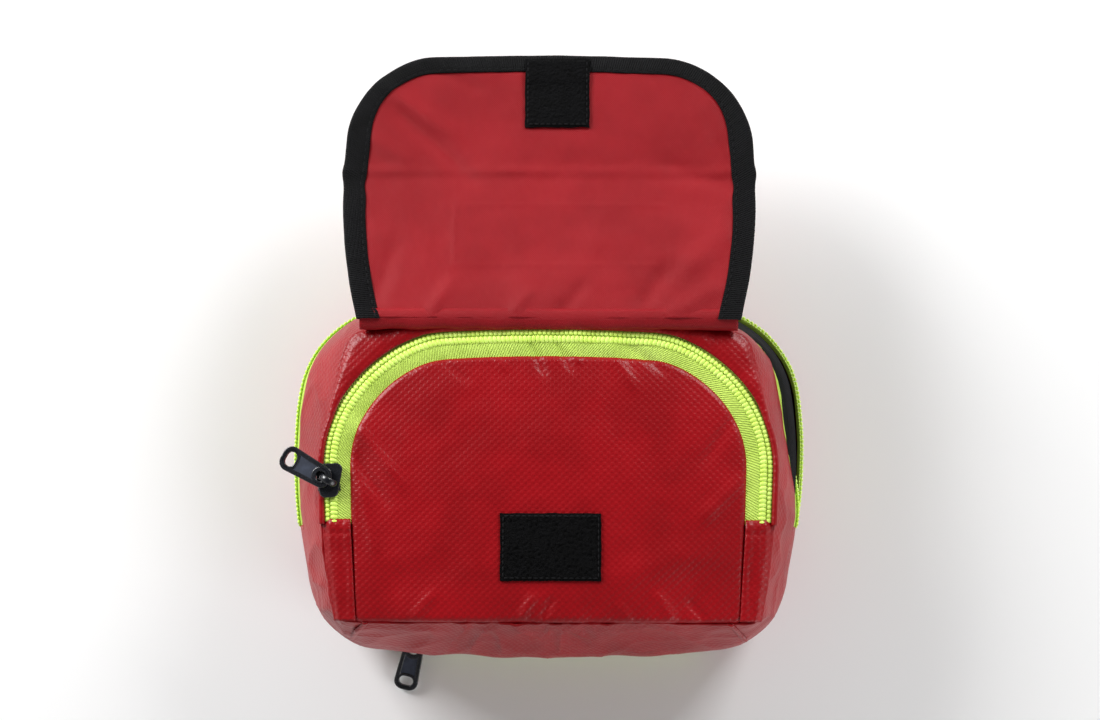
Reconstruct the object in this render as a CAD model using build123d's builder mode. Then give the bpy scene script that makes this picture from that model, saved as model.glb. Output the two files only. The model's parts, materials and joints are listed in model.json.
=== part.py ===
from build123d import *
import math
import os

os.makedirs("parts", exist_ok=True)

# ---------------------------------------------------------------- driving dimensions, mm
# The closed bag
BAG_WIDTH = 190.0
BAG_LENGTH = 131.0  # top to bottom as it is worn
BAG_DEPTH = 71.0

# Fabric and tape
FABRIC = 1.2  # coated fabric with its seam allowance
LINING = 0.6
SEAM_GAP = 0.3  # between a wall and what is sewn inside it
FOAM = 3.0
TAPE = 0.8  # zipper tape

# Body outlines, back to front. Each level holds the height, the half widths at the top, the
# middle and the bottom edge, the top and bottom edges' places, and the two corner radii.
BACK_HEIGHT = 0.0
ROLL_HEIGHT = 3.0
GIRTH_LOW = 20.0
GIRTH_HIGH = BAG_DEPTH - 31.0
SEAM_HEIGHT = BAG_DEPTH - 8.0
SHOULDER_HEIGHT = SEAM_HEIGHT - 9.0
PRISM_TOP = BAG_DEPTH + 7.0

GIRTH_MID_HALF = BAG_WIDTH / 2
GIRTH_TOP_HALF = GIRTH_MID_HALF - 7.0
GIRTH_BOTTOM_HALF = GIRTH_MID_HALF - 5.0
GIRTH_TOP = BAG_LENGTH / 2
GIRTH_BOTTOM = -GIRTH_TOP
GIRTH_TOP_CORNER = 40.0
GIRTH_BOTTOM_CORNER = 30.0

FRONT_MID_HALF = GIRTH_MID_HALF - 10.5
FRONT_TOP_HALF = FRONT_MID_HALF - 10.0
FRONT_BOTTOM_HALF = FRONT_MID_HALF - 5.5
FRONT_TOP = GIRTH_TOP - 14.0
FRONT_BOTTOM = GIRTH_BOTTOM + 8.0
FRONT_CORNER = 6.0
FRONT_TOP_CROWN = 2.2

BACK_INSET = 8.0  # the back face inside the girth
ROLL_INSET = 3.5
SHOULDER_SHARE = 0.45  # how far the shoulder has come in from the girth to the front seam

# The front face bulges as a shallow crown.
CROWN_HEIGHT = BAG_DEPTH
CROWN_X_DROP = 5.0  # at the middle of each side
CROWN_Y_DROP = 3.0  # at the top and bottom edges

# Zippers
COIL = 2.5  # width of one half of the chain
COIL_PROUD = 0.6
COIL_GAP = 0.5  # half the slit between the two halves
TAPE_SHOW = 5.6  # tape that shows beside the chain
HIDDEN_TAPE = 4.0
MAIN_SPLIT = 30.0  # height of the main zipper's slit
ZIP_END = FRONT_BOTTOM + 36.5  # where both arches end
MAIN_OPEN_LIFT = 6.0  # how far the open run's front half stands off
OPEN_START = 8.0  # the open run starts this far right of the main slider
OPEN_RAMP = 42.0
FRONT_FOLD = ZIP_END + 6.0  # the upper front panel folds here
FOLD_GAP = 0.3
REAR_ZIP_SPLIT = 8.2
REAR_ZIP_HALF = GIRTH_MID_HALF - 33.0
REAR_TAPE_SHOW = 2.2

# Arch of the front zipper, along its slit
ARCH_TOP_HALF = FRONT_MID_HALF - 5.0
ARCH_BOTTOM_HALF = ARCH_TOP_HALF - 2.0
ARCH_TOP = FRONT_TOP - 5.5
ARCH_CROWN = 2.8
ARCH_CORNER = 36.0
STRIP_INNER_HALF = ARCH_BOTTOM_HALF - 7.0  # inner edge of the zip end strips

# Hook and loop
LOOP_WIDTH = 37.5
LOOP_HEIGHT = 25.0
LOOP_X = 1.0
LOOP_Y = FRONT_BOTTOM + 28.0
LOOP_THICK = 1.6
HOOK_SIZE = 25.0
HOOK_X = 3.0
HOOK_THICK = 2.0

# Flap, measured along the fabric from its hinge
FLAP_AXIS_Y = FRONT_TOP + 4.0
FLAP_AXIS_HEIGHT = CROWN_HEIGHT - 1.0
HOOK_START = FLAP_AXIS_Y - LOOP_Y - 8.0
FLAP_CREASE = HOOK_START - 17.0
FLAP_LENGTH = HOOK_START + HOOK_SIZE + 8.0
FLAP_NEAR_SLOPE = 14.0  # degrees below level, hinge to crease
FLAP_FAR_SLOPE = 4.0
FLAP_BASE_HALF = FRONT_TOP_HALF
FLAP_MID_HALF = FRONT_MID_HALF - 3.5
FLAP_TIP_HALF = FLAP_MID_HALF - 8.0
FLAP_CORNER = 32.0
FLAP_TIP_CROWN = 2.0
FLAP_HALF = 0.8  # half the flap's thickness
BINDING_WIDTH = 8.5
BINDING_COVER = 0.6  # tape thickness over each face and round the edge
FLAP_ROOT_FOOT = SEAM_HEIGHT - 5.0
FLAP_ROOT_GAP = 1.2  # root strip to hinge line

# Compartments
REAR_POCKET_TOP = 12.4
DIVIDER_HEIGHT = 38.6
LINING_TOP = 21.2
BOTTOM_GUSSET_HALF = FRONT_BOTTOM_HALF - 2.0
BOTTOM_GUSSET_TOP = FRONT_BOTTOM + 17.5

# Slider and puller
SLIDER_LENGTH = 12.0
SLIDER_WIDTH = 9.2
SLIDER_PLATE = 1.4
SLIDER_CLEAR = 0.4
SLIDER_WEB = 0.4
SLIDER_WEB_LENGTH = 4.0
BRIDGE_WIDTH = 2.2
BRIDGE_SPAN = 7.6
BRIDGE_THICK = 1.1
BRIDGE_CLEAR = 2.8
PULLER_LENGTH = 20.5
PULLER_WIDTH = 9.0
PULLER_NECK = 8.2
PULLER_RIM_WIDTH = 1.1
PULLER_RECESS = 0.3
EYE_BAR = 0.8  # radius of the bar that runs under the bridge, half the puller's thickness
EYE_LENGTH = 5.2
EYE_WIDTH = 5.0
PULLER_TIP_CORNER = 3.2
PULLER_EYE_CORNER = 3.2
THUMB_HOLE_LENGTH = 4.4
THUMB_HOLE_WIDTH = 6.0

FRONT_SLIDER_Y = -5.0
MAIN_SLIDER_X = 0.0
REAR_SLIDER_X = 9.0 - REAR_ZIP_HALF
FRONT_PULLER_TURN = 59.0  # degrees from the zipper's run, in the slider's plane
FRONT_PULLER_LIFT = -3.0  # degrees above the slider's plane
REAR_PULLER_YAW = 14.0  # degrees from straight out
REAR_PULLER_REST = 1.0  # height of the puller's tip on the table

# Contents: packs as length, width and height, with the place of each pack's middle
PACK_GAP = 0.2
PACK_EDGE = 1.5
ROLL_RADIUS = 9.3
ROLL_LENGTH = 62.0
ROLL_X = -36.0
ROLL_YS = (17.0, 38.0)
SACHET_GAP = 0.2
DRESSING = (88.0, 56.0, 2.6)
DRESSING_PLACE = (-30.0, -24.0)
DRESSING_COUNT = 3
BANDAGE = (70.0, 46.0, 9.0)
BANDAGE_PLACE = (-32.0, -24.0)
BLANKET = (24.0, 72.0, 16.0)
BLANKET_PLACE = (30.0, -18.0)
TAPE_ROLL_RADIUS = 21.5
TAPE_ROLL_HEIGHT = 12.5
TAPE_CORE_RADIUS = 13.0
TAPE_CORE_WALL = 1.5
TAPE_ROLL_PLACE = (24.0, 40.3)
TWEEZERS_LENGTH = 70.0
TWEEZERS_WIDTH = 9.0
TWEEZERS_LEG = 0.9
TWEEZERS_MOUTH = 1.0  # between the tips
PLASTERS = (70.0, 42.0, 12.0)
PLASTERS_PLACE = (-34.0, -31.0)
GLOVES = (68.0, 46.0, 8.0)
GLOVES_PLACE = (-34.0, 16.0)
WIPE = (52.0, 40.0, 2.4)
WIPE_COUNT = 3

FAR = 400.0  # larger than anything here


# ---------------------------------------------------------------- shared outlines
def barrel(height, shape, inset):
    """A four-sided outline with bowed sides, drawn level at a height."""
    top_half, mid_half, bottom_half, top, bottom, top_corner, bottom_corner, crown = shape
    middle = (top + bottom) / 2
    with BuildSketch(Plane.XY.offset(height)) as outline:
        with BuildLine():
            right_bottom = (bottom_half - inset, bottom + inset)
            right_top = (top_half - inset, top - inset)
            left_top = (inset - top_half, top - inset)
            left_bottom = (inset - bottom_half, bottom + inset)
            Line(left_bottom, right_bottom)
            ThreePointArc(right_bottom, (mid_half - inset, middle), right_top)
            if crown:
                ThreePointArc(right_top, (0, top + crown - inset), left_top)
            else:
                Line(right_top, left_top)
            ThreePointArc(left_top, (inset - mid_half, middle), left_bottom)
        make_face()
        fillet(outline.vertices().group_by(Axis.Y)[-1], top_corner - inset)
        fillet(outline.vertices().group_by(Axis.Y)[0], bottom_corner - inset)
    return outline.sketch


def between(low, high, share):
    return low + (high - low) * share


GIRTH = (
    GIRTH_TOP_HALF,
    GIRTH_MID_HALF,
    GIRTH_BOTTOM_HALF,
    GIRTH_TOP,
    GIRTH_BOTTOM,
    GIRTH_TOP_CORNER,
    GIRTH_BOTTOM_CORNER,
    0,
)
FRONT = (
    FRONT_TOP_HALF,
    FRONT_MID_HALF,
    FRONT_BOTTOM_HALF,
    FRONT_TOP,
    FRONT_BOTTOM,
    FRONT_CORNER,
    FRONT_CORNER,
    FRONT_TOP_CROWN,
)
SHOULDER = tuple(between(g, f, SHOULDER_SHARE) for g, f in zip(GIRTH, FRONT))


def shrunk(shape, by):
    """The same outline, smaller all round by a distance."""
    halves_and_top = [value - by for value in shape[:4]]
    corners = [value - by for value in shape[5:7]]
    return (*halves_and_top, shape[4] + by, *corners, shape[7])


LEVELS = (
    (BACK_HEIGHT, shrunk(GIRTH, BACK_INSET)),
    (ROLL_HEIGHT, shrunk(GIRTH, ROLL_INSET)),
    (GIRTH_LOW, GIRTH),
    (GIRTH_HIGH, GIRTH),
    (SHOULDER_HEIGHT, SHOULDER),
    (SEAM_HEIGHT, FRONT),
    (PRISM_TOP, FRONT),
)


def body_solid(inset):
    """The whole bag's bulk, shrunk by an inset, as stacked straight-sided lofts."""
    with BuildPart() as bulk:
        for (low, low_shape), (high, high_shape) in zip(LEVELS, LEVELS[1:]):
            loft([barrel(low, low_shape, inset), barrel(high, high_shape, inset)], ruled=True)
    return bulk.part


def block(low, high):
    """A box between two corners."""
    with BuildPart() as made:
        with Locations(tuple((a + b) / 2 for a, b in zip(low, high))):
            Box(*(b - a for a, b in zip(low, high)))
    return made.part


def band(low, high, y_low=-FAR, y_high=FAR):
    """All of a layer between two heights, and between two places along Y."""
    return block((-FAR, y_low, low), (FAR, y_high, high))


OUTSIDE = body_solid(0)
INSIDE = body_solid(FABRIC)
LINED = body_solid(FABRIC + LINING)
CHAIN_OUTSIDE = body_solid(-COIL_PROUD)
TAPE_INSIDE = body_solid(TAPE)
ROOT_OUTSIDE = body_solid(-FABRIC)
SEWN_INSIDE = body_solid(FABRIC + SEAM_GAP)


# ---------------------------------------------------------------- crown of the front face
CROWN_MIDDLE = (FRONT_TOP + FRONT_BOTTOM) / 2
CROWN_HALF = (FRONT_TOP - FRONT_BOTTOM) / 2
CROWN_X_RADIUS = (FRONT_MID_HALF**2 + CROWN_X_DROP**2) / (2 * CROWN_X_DROP)
CROWN_Y_RADIUS = (CROWN_HALF**2 + CROWN_Y_DROP**2) / (2 * CROWN_Y_DROP)
CROWN_REACH = CROWN_HALF + 25.0
CROWN_DEPTH = CROWN_HEIGHT - 11.0
LAYER_BASE = SEAM_HEIGHT - 11.0


def crown_solid(offset):
    """All that lies under the front face's bulge, raised by an offset."""
    radius = CROWN_Y_RADIUS + offset
    edge = CROWN_HEIGHT - CROWN_Y_RADIUS + math.sqrt(radius**2 - CROWN_REACH**2)
    low = CROWN_HEIGHT - CROWN_DEPTH
    with BuildPart() as bulge:
        with BuildSketch(Plane.YZ):
            with BuildLine():
                left = (CROWN_MIDDLE - CROWN_REACH, edge)
                right = (CROWN_MIDDLE + CROWN_REACH, edge)
                ThreePointArc(left, (CROWN_MIDDLE, CROWN_HEIGHT + offset), right)
                Polyline(right, (right[0], low), (left[0], low), left)
            make_face()
        revolve(axis=Axis((0, 0, CROWN_HEIGHT - CROWN_X_RADIUS), (0, 1, 0)))
    return bulge.part


CROWN_TOP = crown_solid(0)
CROWN_UNDER = crown_solid(-FABRIC)
CROWN_TAPE_UNDER = crown_solid(-TAPE)
CROWN_CHAIN_TOP = crown_solid(COIL_PROUD)
CROWN_LOOP_TOP = crown_solid(LOOP_THICK)
CROWN_HIDDEN_TOP = crown_solid(-FABRIC - LINING / 2)
CROWN_HIDDEN_UNDER = crown_solid(-FABRIC - LINING / 2 - LINING)


def crown_height(x, y):
    """Height of the front face at a place."""
    along = CROWN_Y_RADIUS - math.sqrt(CROWN_Y_RADIUS**2 - (y - CROWN_MIDDLE) ** 2)
    radius = CROWN_X_RADIUS - along
    return CROWN_HEIGHT - CROWN_X_RADIUS + math.sqrt(radius**2 - x**2)


# ---------------------------------------------------------------- front zipper's arch
ARCH_LEAN = (ARCH_TOP_HALF - ARCH_BOTTOM_HALF) / (ARCH_TOP - ZIP_END)
ARCH_FOOT = FRONT_BOTTOM + FABRIC


def arch_half(y):
    """Half width of the zipper's slit at a place on its straight legs."""
    return ARCH_BOTTOM_HALF + ARCH_LEAN * (y - ZIP_END)


def arch(offset):
    """Inside of the arch, grown by an offset, with its legs carried down to the bottom seam."""
    with BuildSketch(Plane.XY.offset(LAYER_BASE)) as inside:
        with BuildLine():
            right_foot = (arch_half(ARCH_FOOT) + offset, ARCH_FOOT)
            left_foot = (-right_foot[0], ARCH_FOOT)
            right_top = (ARCH_TOP_HALF + offset, ARCH_TOP + offset)
            left_top = (-right_top[0], right_top[1])
            Polyline(left_top, left_foot, right_foot, right_top)
            ThreePointArc(right_top, (0, ARCH_TOP + ARCH_CROWN + offset), left_top)
        make_face()
        fillet(inside.vertices().group_by(Axis.Y)[-1], ARCH_CORNER + offset)
    return inside.sketch


def rectangle(x_low, x_high, y_low, y_high):
    with BuildSketch(Plane.XY.offset(LAYER_BASE)) as made:
        with Locations([((x_low + x_high) / 2, (y_low + y_high) / 2)]):
            Rectangle(x_high - x_low, y_high - y_low)
    return made.sketch


def on_front(region, top, under):
    """A sheet on the bulged front face, from its plan and its two faces."""
    with BuildPart() as sheet:
        extrude(region, amount=PRISM_TOP - LAYER_BASE, dir=(0, 0, 1))
        add(top, mode=Mode.INTERSECT)
        add(under, mode=Mode.SUBTRACT)
    return sheet.part


FRONT_PLAN = barrel(LAYER_BASE, FRONT, FABRIC)
FRONT_UNDER_PLAN = barrel(LAYER_BASE, FRONT, FABRIC + SEAM_GAP)
COIL_OUTER = COIL_GAP + COIL
TAPE_INNER = COIL_OUTER + TAPE_SHOW
FOLD_LOW = FRONT_FOLD - FOLD_GAP / 2
FOLD_HIGH = FRONT_FOLD + FOLD_GAP / 2
ABOVE_ENDS = rectangle(-FAR, FAR, ZIP_END, FAR)
BELOW_ENDS = rectangle(-FAR, FAR, -FAR, ZIP_END)
ABOVE_FOLD = rectangle(-FAR, FAR, FOLD_HIGH, FAR)
ENDS_TO_FOLD = rectangle(-FAR, FAR, ZIP_END, FOLD_LOW)
STRIP_SIDES = BELOW_ENDS - rectangle(-STRIP_INNER_HALF, STRIP_INNER_HALF, -FAR, FAR)
COIL_INNER_PLAN = arch(-COIL_GAP) - arch(-COIL_OUTER)
COIL_OUTER_PLAN = (arch(COIL_OUTER) & FRONT_PLAN) - arch(COIL_GAP)
TAPE_INNER_PLAN = arch(-COIL_OUTER) - arch(-TAPE_INNER)
HIDDEN_TAPE_PLAN = arch(COIL_OUTER + HIDDEN_TAPE) - arch(COIL_GAP)

with BuildPart() as front_frame:
    add(on_front((FRONT_PLAN & ABOVE_ENDS) - arch(COIL_OUTER), CROWN_TOP, CROWN_UNDER))

with BuildPart() as zip_end_strips:
    add(on_front(FRONT_PLAN & STRIP_SIDES, CROWN_TOP, CROWN_UNDER))

LOWER_PLAN = (FRONT_PLAN & rectangle(-STRIP_INNER_HALF, STRIP_INNER_HALF, -FAR, ZIP_END)) + (
    arch(-TAPE_INNER) & ENDS_TO_FOLD
)
with BuildPart() as lower_front_panel:
    add(on_front(LOWER_PLAN, CROWN_TOP, CROWN_UNDER))

with BuildPart() as loop_patch:
    loop_plan = rectangle(
        LOOP_X - LOOP_WIDTH / 2,
        LOOP_X + LOOP_WIDTH / 2,
        LOOP_Y - LOOP_HEIGHT / 2,
        LOOP_Y + LOOP_HEIGHT / 2,
    )
    add(on_front(loop_plan, CROWN_LOOP_TOP, CROWN_TOP))

with BuildPart() as front_zip_coil_outer:
    add(on_front(COIL_OUTER_PLAN & ABOVE_ENDS, CROWN_CHAIN_TOP, CROWN_UNDER))

with BuildPart() as front_zip_tape_outer:
    hidden_plan = HIDDEN_TAPE_PLAN & ABOVE_ENDS & FRONT_UNDER_PLAN
    add(on_front(hidden_plan, CROWN_HIDDEN_TOP, CROWN_HIDDEN_UNDER))

with BuildPart() as front_zip_ends:
    add(on_front((arch(-COIL_GAP) - arch(-TAPE_INNER)) & ENDS_TO_FOLD, CROWN_TOP, CROWN_UNDER))

with BuildPart() as upper_front_panel:
    add(on_front(arch(-TAPE_INNER) & ABOVE_FOLD, CROWN_TOP, CROWN_UNDER))

with BuildPart() as front_zip_tape_inner:
    add(on_front(TAPE_INNER_PLAN & ABOVE_FOLD, CROWN_TOP, CROWN_TAPE_UNDER))

with BuildPart() as front_zip_coil_inner:
    add(on_front(COIL_INNER_PLAN & ABOVE_FOLD, CROWN_CHAIN_TOP, CROWN_UNDER))


# ---------------------------------------------------------------- main zipper and the two walls
def opened_above(height):
    """All above a height, which climbs along the run of the main zipper that stands open."""
    with BuildPart() as region:
        for plane, start in ((Plane.XZ, MAIN_SLIDER_X + OPEN_START), (Plane.YZ, ZIP_END)):
            ramp_foot = (start, height)
            ramp_head = (start + OPEN_RAMP, height + MAIN_OPEN_LIFT)
            with BuildSketch(plane):
                with BuildLine():
                    Line((-FAR, height), ramp_foot)
                    Spline(ramp_foot, ramp_head, tangents=((1, 0), (1, 0)))
                    Polyline(
                        ramp_head,
                        (FAR, ramp_head[1]),
                        (FAR, FAR),
                        (-FAR, FAR),
                        (-FAR, height),
                    )
                make_face()
            extrude(amount=FAR, both=True)
    return region.part


REAR_COIL_TOP = MAIN_SPLIT - COIL_GAP
REAR_TAPE_TOP = REAR_COIL_TOP - COIL
REAR_TAPE_FOOT = REAR_TAPE_TOP - TAPE_SHOW
FRONT_COIL_FOOT = MAIN_SPLIT + COIL_GAP
FRONT_TAPE_FOOT = FRONT_COIL_FOOT + COIL
FRONT_TAPE_TOP = FRONT_TAPE_FOOT + TAPE_SHOW
ABOVE_COIL_FOOT = opened_above(FRONT_COIL_FOOT)
ABOVE_TAPE_FOOT = opened_above(FRONT_TAPE_FOOT)
ABOVE_TAPE_TOP = opened_above(FRONT_TAPE_TOP)

REAR_SLIT_LOW = REAR_ZIP_SPLIT - COIL_GAP
REAR_SLIT_HIGH = REAR_ZIP_SPLIT + COIL_GAP
REAR_ZIP_LOW = REAR_SLIT_LOW - COIL - REAR_TAPE_SHOW
REAR_ZIP_HIGH = REAR_SLIT_HIGH + COIL + REAR_TAPE_SHOW


def rear_zip_band(low, high):
    """The rear pocket zipper's stretch of the bottom wall, between two heights."""
    return block((-REAR_ZIP_HALF, -FAR, low), (REAR_ZIP_HALF, 0, high))


with BuildPart() as rear_gusset:
    add(OUTSIDE)
    add(INSIDE, mode=Mode.SUBTRACT)
    add(band(BACK_HEIGHT, REAR_COIL_TOP), mode=Mode.INTERSECT)
    add(band(REAR_TAPE_FOOT, REAR_COIL_TOP, y_low=ZIP_END), mode=Mode.SUBTRACT)
    add(rear_zip_band(REAR_ZIP_LOW, REAR_ZIP_HIGH), mode=Mode.SUBTRACT)

with BuildPart() as back_panel:
    add(INSIDE)
    add(band(BACK_HEIGHT, FABRIC), mode=Mode.INTERSECT)

with BuildPart() as back_board:
    add(SEWN_INSIDE)
    add(band(REAR_POCKET_TOP, REAR_POCKET_TOP + FOAM), mode=Mode.INTERSECT)

FLOOR = REAR_POCKET_TOP + FOAM
with BuildPart() as main_lining:
    add(INSIDE)
    add(band(FLOOR, LINING_TOP), mode=Mode.INTERSECT)
    with BuildPart(mode=Mode.PRIVATE) as hollow:
        add(LINED)
        add(band(FLOOR + LINING, LINING_TOP), mode=Mode.INTERSECT)
    add(hollow.part, mode=Mode.SUBTRACT)

with BuildPart() as main_zip_tape_rear:
    add(OUTSIDE)
    add(TAPE_INSIDE, mode=Mode.SUBTRACT)
    add(band(REAR_TAPE_FOOT, REAR_TAPE_TOP, y_low=ZIP_END), mode=Mode.INTERSECT)

with BuildPart() as main_zip_coil_rear:
    add(CHAIN_OUTSIDE)
    add(INSIDE, mode=Mode.SUBTRACT)
    add(band(REAR_TAPE_TOP, REAR_COIL_TOP, y_low=ZIP_END), mode=Mode.INTERSECT)

with BuildPart() as main_zip_coil_front:
    add(CHAIN_OUTSIDE)
    add(INSIDE, mode=Mode.SUBTRACT)
    add(band(BACK_HEIGHT, FAR, y_low=ZIP_END), mode=Mode.INTERSECT)
    add(ABOVE_COIL_FOOT, mode=Mode.INTERSECT)
    add(ABOVE_TAPE_FOOT, mode=Mode.SUBTRACT)

with BuildPart() as main_zip_tape_front:
    add(OUTSIDE)
    add(TAPE_INSIDE, mode=Mode.SUBTRACT)
    add(band(BACK_HEIGHT, FAR, y_low=ZIP_END), mode=Mode.INTERSECT)
    add(ABOVE_TAPE_FOOT, mode=Mode.INTERSECT)
    add(ABOVE_TAPE_TOP, mode=Mode.SUBTRACT)

BOTTOM_PART = block(
    (-BOTTOM_GUSSET_HALF, -FAR, FRONT_COIL_FOOT),
    (BOTTOM_GUSSET_HALF, BOTTOM_GUSSET_TOP, FAR),
)
with BuildPart() as front_wall:
    add(OUTSIDE)
    add(INSIDE, mode=Mode.SUBTRACT)
    add(CROWN_TOP, mode=Mode.INTERSECT)
    add(band(FRONT_COIL_FOOT, FAR), mode=Mode.INTERSECT)

with BuildPart() as bottom_gusset:
    add(OUTSIDE)
    add(BOTTOM_PART, mode=Mode.INTERSECT)
    add(INSIDE, mode=Mode.SUBTRACT)
    add(CROWN_TOP, mode=Mode.INTERSECT)

with BuildPart() as front_gusset:
    add(front_wall.part)
    add(BOTTOM_PART, mode=Mode.SUBTRACT)
    with BuildPart(mode=Mode.PRIVATE) as zip_run:
        add(band(BACK_HEIGHT, FAR, y_low=ZIP_END))
        add(ABOVE_TAPE_TOP, mode=Mode.SUBTRACT)
    add(zip_run.part, mode=Mode.SUBTRACT)

with BuildPart() as divider_panel:
    add(SEWN_INSIDE)
    add(band(DIVIDER_HEIGHT, DIVIDER_HEIGHT + LINING), mode=Mode.INTERSECT)

REAR_TAPE_LOWER = rear_zip_band(REAR_ZIP_LOW, REAR_ZIP_LOW + REAR_TAPE_SHOW)
REAR_TAPE_UPPER = rear_zip_band(REAR_ZIP_HIGH - REAR_TAPE_SHOW, REAR_ZIP_HIGH)
REAR_COIL_LOWER = rear_zip_band(REAR_SLIT_LOW - COIL, REAR_SLIT_LOW)
REAR_COIL_UPPER = rear_zip_band(REAR_SLIT_HIGH, REAR_SLIT_HIGH + COIL)
with BuildPart() as rear_zip_tapes:
    add(OUTSIDE)
    add(TAPE_INSIDE, mode=Mode.SUBTRACT)
    add(REAR_TAPE_LOWER + REAR_TAPE_UPPER, mode=Mode.INTERSECT)

with BuildPart() as rear_zip_coils:
    add(CHAIN_OUTSIDE)
    add(INSIDE, mode=Mode.SUBTRACT)
    add(REAR_COIL_LOWER + REAR_COIL_UPPER, mode=Mode.INTERSECT)


# ---------------------------------------------------------------- flap
def flap_points(low, high):
    """Section of a bent sheet between two offsets from the flap's middle, along Y and Z."""
    near, far = math.radians(FLAP_NEAR_SLOPE), math.radians(FLAP_FAR_SLOPE)
    bend = (near + far) / 2
    mitre = 1 / math.cos((near - far) / 2)
    start = (FLAP_AXIS_Y, FLAP_AXIS_HEIGHT)
    crease = (
        start[0] + FLAP_CREASE * math.cos(near),
        start[1] - FLAP_CREASE * math.sin(near),
    )
    rest = FLAP_LENGTH - FLAP_CREASE
    tip = (crease[0] + rest * math.cos(far), crease[1] - rest * math.sin(far))
    spots = ((start, near, 1), (crease, bend, mitre), (tip, far, 1))

    def raised(spot, offset):
        (y, z), slope, stretch = spot
        return (y + offset * stretch * math.sin(slope), z + offset * stretch * math.cos(slope))

    return [raised(s, low) for s in spots] + [raised(s, high) for s in reversed(spots)]


def bent_sheet(low, high):
    with BuildPart() as sheet:
        with BuildSketch(Plane.YZ):
            with BuildLine():
                Polyline(*flap_points(low, high), close=True)
            make_face()
        extrude(amount=FLAP_MID_HALF + FABRIC, both=True)
    return sheet.part


FLAP_TIP_Y = flap_points(0, 0)[2][0]
FLAP_PLAN = (
    FLAP_TIP_HALF,
    FLAP_MID_HALF,
    FLAP_BASE_HALF,
    FLAP_TIP_Y - FLAP_TIP_CROWN,
    FLAP_AXIS_Y,
    FLAP_CORNER,
    0,
    FLAP_TIP_CROWN,
)


def flap_prism(inset):
    """An upright prism on the flap's plan, shrunk by an inset on the three bound edges."""
    top_half, mid_half, bottom_half, top, bottom, top_corner, _, crown = FLAP_PLAN
    middle = (top + bottom) / 2
    with BuildPart() as prism:
        with BuildSketch() as plan:
            with BuildLine():
                right_bottom = (bottom_half - inset, bottom)
                right_top = (top_half - inset, top - inset)
                left_top = (inset - top_half, top - inset)
                left_bottom = (inset - bottom_half, bottom)
                Line(left_bottom, right_bottom)
                ThreePointArc(right_bottom, (mid_half - inset, middle), right_top)
                ThreePointArc(right_top, (0, top + crown - inset), left_top)
                ThreePointArc(left_top, (inset - mid_half, middle), left_bottom)
            make_face()
            fillet(plan.vertices().group_by(Axis.Y)[-1], top_corner - inset)
        extrude(amount=PRISM_TOP)
    return prism.part


with BuildPart() as flap_outer:
    add(bent_sheet(-FLAP_HALF, FLAP_HALF - LINING))
    add(flap_prism(BINDING_COVER), mode=Mode.INTERSECT)

with BuildPart() as flap_lining:
    add(bent_sheet(FLAP_HALF - LINING, FLAP_HALF))
    add(flap_prism(BINDING_COVER), mode=Mode.INTERSECT)

with BuildPart() as flap_binding:
    add(bent_sheet(-FLAP_HALF - BINDING_COVER, FLAP_HALF + BINDING_COVER))
    add(flap_prism(0), mode=Mode.INTERSECT)
    add(flap_prism(BINDING_WIDTH), mode=Mode.SUBTRACT)
    with BuildPart(mode=Mode.PRIVATE) as flap_core:
        add(bent_sheet(-FLAP_HALF, FLAP_HALF))
        add(flap_prism(BINDING_COVER), mode=Mode.INTERSECT)
    add(flap_core.part, mode=Mode.SUBTRACT)


def far_point(along, offset):
    """A place on the flap beyond its crease, along the fabric from the hinge and off its middle."""
    slope = math.radians(FLAP_FAR_SLOPE)
    crease_y = FLAP_AXIS_Y + FLAP_CREASE * math.cos(math.radians(FLAP_NEAR_SLOPE))
    crease_z = FLAP_AXIS_HEIGHT - FLAP_CREASE * math.sin(math.radians(FLAP_NEAR_SLOPE))
    run = along - FLAP_CREASE
    return (
        crease_y + run * math.cos(slope) + offset * math.sin(slope),
        crease_z - run * math.sin(slope) + offset * math.cos(slope),
    )


with BuildPart() as hook_patch:
    with BuildSketch(Plane.YZ.offset(HOOK_X)):
        with BuildLine():
            Polyline(
                far_point(HOOK_START, FLAP_HALF),
                far_point(HOOK_START + HOOK_SIZE, FLAP_HALF),
                far_point(HOOK_START + HOOK_SIZE, FLAP_HALF + HOOK_THICK),
                far_point(HOOK_START, FLAP_HALF + HOOK_THICK),
                close=True,
            )
        make_face()
    extrude(amount=HOOK_SIZE / 2, both=True)
    add(flap_binding.part, mode=Mode.SUBTRACT)

with BuildPart() as flap_root:
    add(ROOT_OUTSIDE)
    add(OUTSIDE, mode=Mode.SUBTRACT)
    root_low = (-FLAP_BASE_HALF + FRONT_CORNER, 0, FLAP_ROOT_FOOT)
    root_high = (FLAP_BASE_HALF - FRONT_CORNER, FAR, FLAP_AXIS_HEIGHT - FLAP_ROOT_GAP)
    add(block(root_low, root_high), mode=Mode.INTERSECT)


# ---------------------------------------------------------------- sliders and pullers
PLATE_FOOT = COIL_PROUD + SLIDER_CLEAR
PLATE_TOP = PLATE_FOOT + SLIDER_PLATE
EYE_HEIGHT = PLATE_TOP + BRIDGE_CLEAR / 2
PLATE_CORNER = 2.2
BRIDGE_CORNER = 1.7
BRIDGE_INNER_CORNER = 0.9


def heading(seat, turn):
    """The direction in a seat's plane that is turned by an angle from its X axis."""
    angle = math.radians(turn)
    return seat.x_dir * math.cos(angle) + seat.y_dir * math.sin(angle)


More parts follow.
